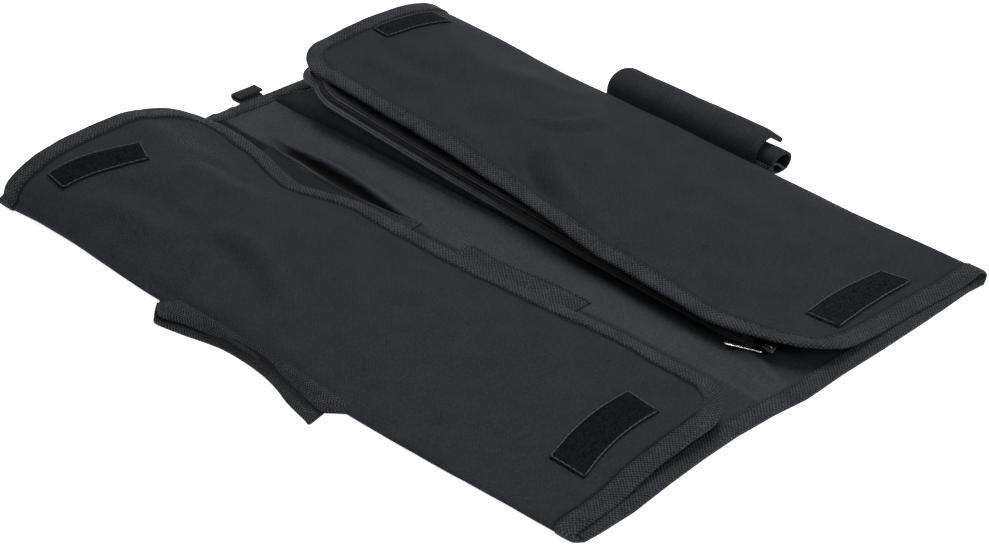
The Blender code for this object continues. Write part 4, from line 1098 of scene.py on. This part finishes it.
# ------------------------------------------------------------------ the handles
# The left strap: Y, the lower layer's outer X, the upper layer's outer X, inner X, inner Z.
LEFT_STRAP = (
    (80, -204, -202, -195.8, 2.4), (75, -210, -208.6, -196.4, 4.0), (70, -215, -212.5, -197.6, 5.2),
    (64.8, -218.4, -214, -199.0, 6.4), (50, -214.5, -209.5, -199.8, 7.6), (25, -208, -204.3, -199.6, 8.4),
    (7, -207, -203, -199.3, 8.8), (-12, -208.5, -203.6, -199.3, 8.8), (-27, -212, -206, -199.8, 8.2),
    (-41, -217, -209, -200.3, 7.4), (-58, -221, -212, -200.0, 6.2), (-64, -221.8, -212, -199.4, 5.4),
    (-69, -212, -207, -197.6, 3.8), (-74, -203, -201, -195.6, 2.0),
)
STRAP_CUT = -64.0  # the lower layer's turned end


def left_handle():
    """Webbing folded along its length: a lower layer, and an upper one set back from its edge."""
    s = curve_through(LEFT_STRAP, 150)
    share = np.linspace(0, 1, 24)
    # Name, edge column, start Z, Z at the edge, curve, lift, belly, cut width, share of the length.
    for name, column, start, rise, power, lift, belly, width, kept in (
        ("left_strap_lower", 1, 0.3, 0.0, 1.5, 0.0, 0.7, 15.0, 0.94),
        ("left_strap_upper", 2, 0.0, 0.22, 0.8, 1.7, 1.2, 10.5, 1.0),
    ):
        lower = column == 1
        part = s[s[:, 0] > STRAP_CUT] if lower else s
        y, inner, high = part[:, :1], part[:, 3:4], part[:, 4:5]
        edge = np.minimum(part[:, column : column + 1], inner - 1.2)
        x = edge + (inner - edge) * share
        spread = smooth(inner - edge, 1, 8)
        base = high * rise
        z = start + base + (high - base) * share**power + lift * spread
        z = z + belly * np.sin(math.pi * share) * spread
        z = z + 0.4 * ripple(x, y, 15.0, 91.0 + column) * smooth(z, 0.8, 2.5)
        if lower:
            z = z + 1.3 * hump(share, 0.0, 0.16) * smooth(y, 45, 70)
            # Painted shade on the lower layer where the upper layer lies over it.
            depth = 0.95 * np.clip((x - part[:, 2:3] + 3.5) / 3.5, 0, 1)
        else:
            # Painted shade: a thin dark line along the upper layer's outer edge.
            depth = np.broadcast_to(0.35 * hump(share, 0.0, 0.05), x.shape)
        obj = layer(name, grid(x, y, z + 1.0), 1.0, "webbing", depth=depth)
        place(obj, "left_handle", "handle_left_webbing")
        cut()


def tabs():
    """The handles' sewn ends under the covers."""
    for side in ("left", "right"):
        for end in ("near", "far"):
            node = f"handle_tab_{side}_{end}"
            low, high = mm_box(node)
            x, y = np.meshgrid(np.linspace(low[0], high[0], 16), np.linspace(low[1], high[1], 16))
            under = grid(x, y, 0.06 + 0.03 * ripple(x, y, 5.0, 97.0))
            obj = layer(f"sewn_end_{side}_{end}", grid(x, y, 0.34), 0.3, "webbing", under=under)
            place(obj, f"{side}_cover", node)
            cut()


GRIP_MIDDLE = (211.0, 7.4)  # the roll's centre, as (X, Z)
GRIP_HALF = (11.2, 7.1)
GRIP_ENDS = (-62.5, 77.0)
WRAP_ENDS = (-49.5, 79.5)
# The wrap's outside: up from beside the fold, over the roll, to its free curled edge.
WRAP_ARCH = (
    (199.2, 1.6), (197.3, 4.5), (196.8, 9.5), (197.4, 14.6), (199.8, 19.0), (204.3, 22.2),
    (210.8, 23.8), (217.2, 23.0), (222.6, 20.2), (226.2, 16.6), (227.6, 13.6),
)


def grip_ring(y, scale):
    """A section of the roll, and how shaded each of its points is beside the fold."""
    ring, shade = [], []
    for r in turns(40):
        ca, sa = math.cos(r), math.sin(r)
        x = GRIP_MIDDLE[0] + GRIP_HALF[0] * scale * squared(ca, 0.85)
        z = GRIP_MIDDLE[1] + GRIP_HALF[1] * scale * squared(sa, 0.85)
        bump = 0.4 * noise.noise((x / 12, y / 15, 3.3 + z / 8))
        ring.append((x + bump * ca, y, max(z + bump * sa, 0.05)))
        shade.append(0.7 * smooth(-ca, 0.2, 0.9))
    return ring, shade


def grip_roll():
    """The rolled lower layers, with an open near end."""
    near, far = GRIP_ENDS
    # From deep inside the near end's opening out over its rim: distance, scale and shade.
    mouth = ((15, 0.05, 1.0), (14, 0.6, 1.0), (5, 0.72, 0.95),
             (1.0, 0.76, 0.6), (0.1, 0.86, 0.0), (0.5, 0.95, 0.0))
    sections = [(grip_ring(near + d, scale)[0], [shade] * 40) for d, scale, shade in mouth]
    # Then along the roll to its rounded far end.
    for share in np.linspace(0, 1, 60):
        tip = 1 - np.clip((1 - share) / 0.05, 0, 1)
        scale = math.sqrt(max(0.25, 1 - tip * tip))
        sections.append(grip_ring(near + 2.0 + (far - near - 2.0) * share, scale))
    # Painted shade on the roll: inside its open near end and on its side beside the fold.
    rings, painted_shades = zip(*sections)
    pad = tube("grip_roll", rings, "outer_fabric", depth=np.asarray(painted_shades))
    place(pad, "right_handle", "grip_pad")


def grip_wrap():
    """The wrap's upper layer, arched over the roll."""
    arch = curve_through(WRAP_ARCH, 56)
    ys = np.concatenate([np.linspace(WRAP_ENDS[0], 70, 70), np.linspace(70, WRAP_ENDS[1], 22)[1:]])
    u = np.linspace(0, 1, 56)
    rows, shades = [], []
    for y in ys:
        tip = np.clip((y - (WRAP_ENDS[1] - 10)) / 10, 0, 1)
        scale = 0.62 + 0.38 * math.sqrt(max(0.0, 1 - tip * tip))
        wave = np.array([0.45 * noise.noise((a / 14, y / 20, 5.5 + b / 10)) for a, b in arch])
        lean = 0.8 * noise.noise((y / 30, 2.2, 7.7))
        curl = 1.3 * (1 - smooth(np.array(y), WRAP_ENDS[0], WRAP_ENDS[0] + 9))
        x = GRIP_MIDDLE[0] + (arch[:, 0] - GRIP_MIDDLE[0] + wave * 0.3) * scale
        high = arch[:, 1] - GRIP_MIDDLE[1] + wave + lean * smooth(arch[:, 1], 4, 14)
        z = GRIP_MIDDLE[1] + high * scale - curl * smooth(arch[:, 1], 12, 20)
        rows.append(grid(x, y, np.maximum(z, 0.5)))
        shades.append(0.98 * (1 - smooth(u, 0.1, 0.33)) + 0.35 * tip * (1 - smooth(u, 0.2, 0.5)))
    cover = layer("grip_wrap_cloth", np.asarray(rows), 2.6, "outer_fabric", depth=np.asarray(shades))
    place(cover, GRIP_TO_WRAP, "grip_cover")


def grip_tape_and_webbing():
    """The strip of loop tape under the wrap, and the webbing that goes into the roll's ends."""
    x, y = np.meshgrid(np.linspace(204.5, 217, 14), np.linspace(-43, 70, 60))
    z = 15.2 + 0.15 * ripple(x, y, 3.0, 99.0) - 0.006 * (x - GRIP_MIDDLE[0]) ** 2
    strip = layer("grip_loop_tape", grid(x, y, z), 0.7, "loop_tape", uv=np.stack([x, y], -1))
    place(strip, "right_handle", "grip_loop_strip")
    cut()
    low, high = mm_box("handle_right_webbing")
    legs = (
        ("right_strap_near", -61.5, -47.0, 1.0, ["handle_right_webbing"],
         ((199.5, 8.2), (203.5, 10.0), (209, 7.4), (214, 3.6), (218, 2.6))),
        ("right_strap_far", high[1] - 15.0, high[1] - 2.0, 0.0, [],
         ((200, 6.6), (205, 7.6), (210, 7.2), (213, 7.0), (216, 7.0))),
    )
    for name, y0, y1, slant, nodes, way in legs:
        path = curve_through(((low[0] + 0.3, 3.4), *way), 34)
        x, y = np.meshgrid(path[:, 0], np.linspace(y0, y1, 14))
        z = path[:, 1] + 0.2 * ripple(x, y, 9.0, 103.0)
        y = y - slant * np.linspace(0, 1, 34)
        obj = layer(name, grid(x, y, z), 1.4, "webbing", uv=np.stack([y, x], -1))
        place(obj, "right_handle", *nodes)
        cut()


def hanger():
    """The ribbon loop at the spine's far end."""
    low, high = mm_box("hanger_loop")
    middle_z = (low[2] + high[2]) / 2
    radius = (high[2] - low[2]) / 2 - 0.15
    reach = high[1] - low[1] - radius
    upper, lower, halfway = middle_z + radius, middle_z - radius, low[1] + reach * 0.5
    path = [(low[1] + 0.2, upper), (halfway, upper)]
    for t in np.linspace(math.pi / 2, -math.pi / 2, 15):
        path.append((low[1] + reach + radius * math.cos(t), middle_z + radius * math.sin(t)))
    path = curve_through([*path, (halfway, lower), (low[1] + 0.2, lower)], 60)
    xs = np.linspace(low[0] + 0.2, high[0] - 0.2, 18)
    top = grid(xs, path[:, :1], path[:, 1:])
    tangent = np.gradient(path, axis=0)
    tangent /= np.linalg.norm(tangent, axis=1, keepdims=True)
    inward = np.stack([0 * tangent[:, 0], tangent[:, 1], -tangent[:, 0]], -1)
    obj = layer("hanging_ribbon", top, 1.7, "webbing", under=top + inward[:, None, :] * 1.7)
    place(obj, SPINE_TO_HANGER, "hanger_loop")
    cut()


# ------------------------------------------------------------------ camera, light and floor
def studio():
    scene = bpy.context.scene
    cam = bpy.data.cameras.new("camera")
    cam.sensor_width, cam.lens = 36.0, 89.70
    cam.clip_end = 20
    right = Vector((0.66643044, -0.74154721, 0.07731883))
    down = Vector((-0.33958337, -0.39422555, -0.85397269))
    ahead = Vector((0.66374212, 0.5428572, -0.51454101))
    obj = bpy.data.objects.new("camera", cam)
    turn = Matrix((right, -down, -ahead)).transposed().to_4x4()
    obj.matrix_world = Matrix.Translation((-1.00912, -0.82627, 0.76158)) @ turn
    scene.collection.objects.link(obj)
    scene.camera = obj
    world = bpy.data.worlds.new("studio")
    world.use_nodes = True
    background = world.node_tree.nodes["Background"]
    background.inputs[0].default_value = (1, 1, 1, 1)
    background.inputs[1].default_value = 0.5
    scene.world = world
    for name, at, size, power in (
        ("overhead", (1.05, 0.55, 2.3), 1.4, 66.0),
        ("front", (-0.75, -1.5, 1.1), 1.0, 24.0),
    ):
        light = bpy.data.lights.new(name, "AREA")
        light.shape, light.size, light.energy = "SQUARE", size, power
        lamp = bpy.data.objects.new(name, light)
        lamp.location = at
        lamp.rotation_euler = (-Vector(at)).to_track_quat("-Z", "Y").to_euler()
        scene.collection.objects.link(lamp)
    mesh = bpy.data.meshes.new("floor")
    half = 6.0
    corners = [(-half, -half, 0), (half, -half, 0), (half, half, 0), (-half, half, 0)]
    mesh.from_pydata(corners, [], [(0, 1, 2, 3)])
    mat = bpy.data.materials.new("pale floor")
    mat.use_nodes = True
    bsdf = mat.node_tree.nodes["Principled BSDF"]
    bsdf.inputs["Base Color"].default_value = (0.9, 0.9, 0.9, 1)
    bsdf.inputs["Roughness"].default_value = 0.9
    bsdf.inputs["Emission Color"].default_value = (1, 1, 1, 1)
    bsdf.inputs["Emission Strength"].default_value = 0.8
    mesh.materials.append(mat)
    plane = bpy.data.objects.new("floor", mesh)
    scene.collection.objects.link(plane)
    scene.view_settings.view_transform = "Standard"
    scene.view_settings.look = "None"


# ------------------------------------------------------------------ everything together
# Each patch's corners as (distance from the flap's inner edge, Y), and how far it bows.
LEFT_PATCHES = (
    ("near", ((47, -196.5), (121, -203), (122.5, -178), (46.5, -169.5)), 3.0),
    ("far", ((93, 171.5), (148, 188.5), (147, 205), (85, 189)), 2.0),
)
RIGHT_PATCHES = (
    ("near", ((46, -211), (129, -206), (125, -187.5), (44, -188.5)), 2.0),
    ("far", ((69, 195.5), (127, 189), (126, 207), (68.5, 210)), 1.0),
)
make_flap("left", LEFT_STATIONS, LEFT_CORNER, 3.2, LEFT_RIDGES, 1.0, LEFT_HINGE,
          "loop", LEFT_PATCHES)
right_drape = make_flap("right", RIGHT_STATIONS, RIGHT_CORNER, 2.6, RIGHT_RIDGES, 2.0,
                        RIGHT_HINGE, "hook", RIGHT_PATCHES)
base_layers()
pocket_far()
pocket_near()
gusset()
pouch_top(right_drape)
zip_tape("zip_tape_upper_cloth", 1.6, 6.2, "zip_tape_upper")
zip_tape("zip_tape_lower_cloth", -6.2, -1.6, "zip_tape_lower")
zip_teeth()
slider_and_pull()
left_handle()
grip_roll()
grip_wrap()
grip_tape_and_webbing()
tabs()
hanger()
studio()
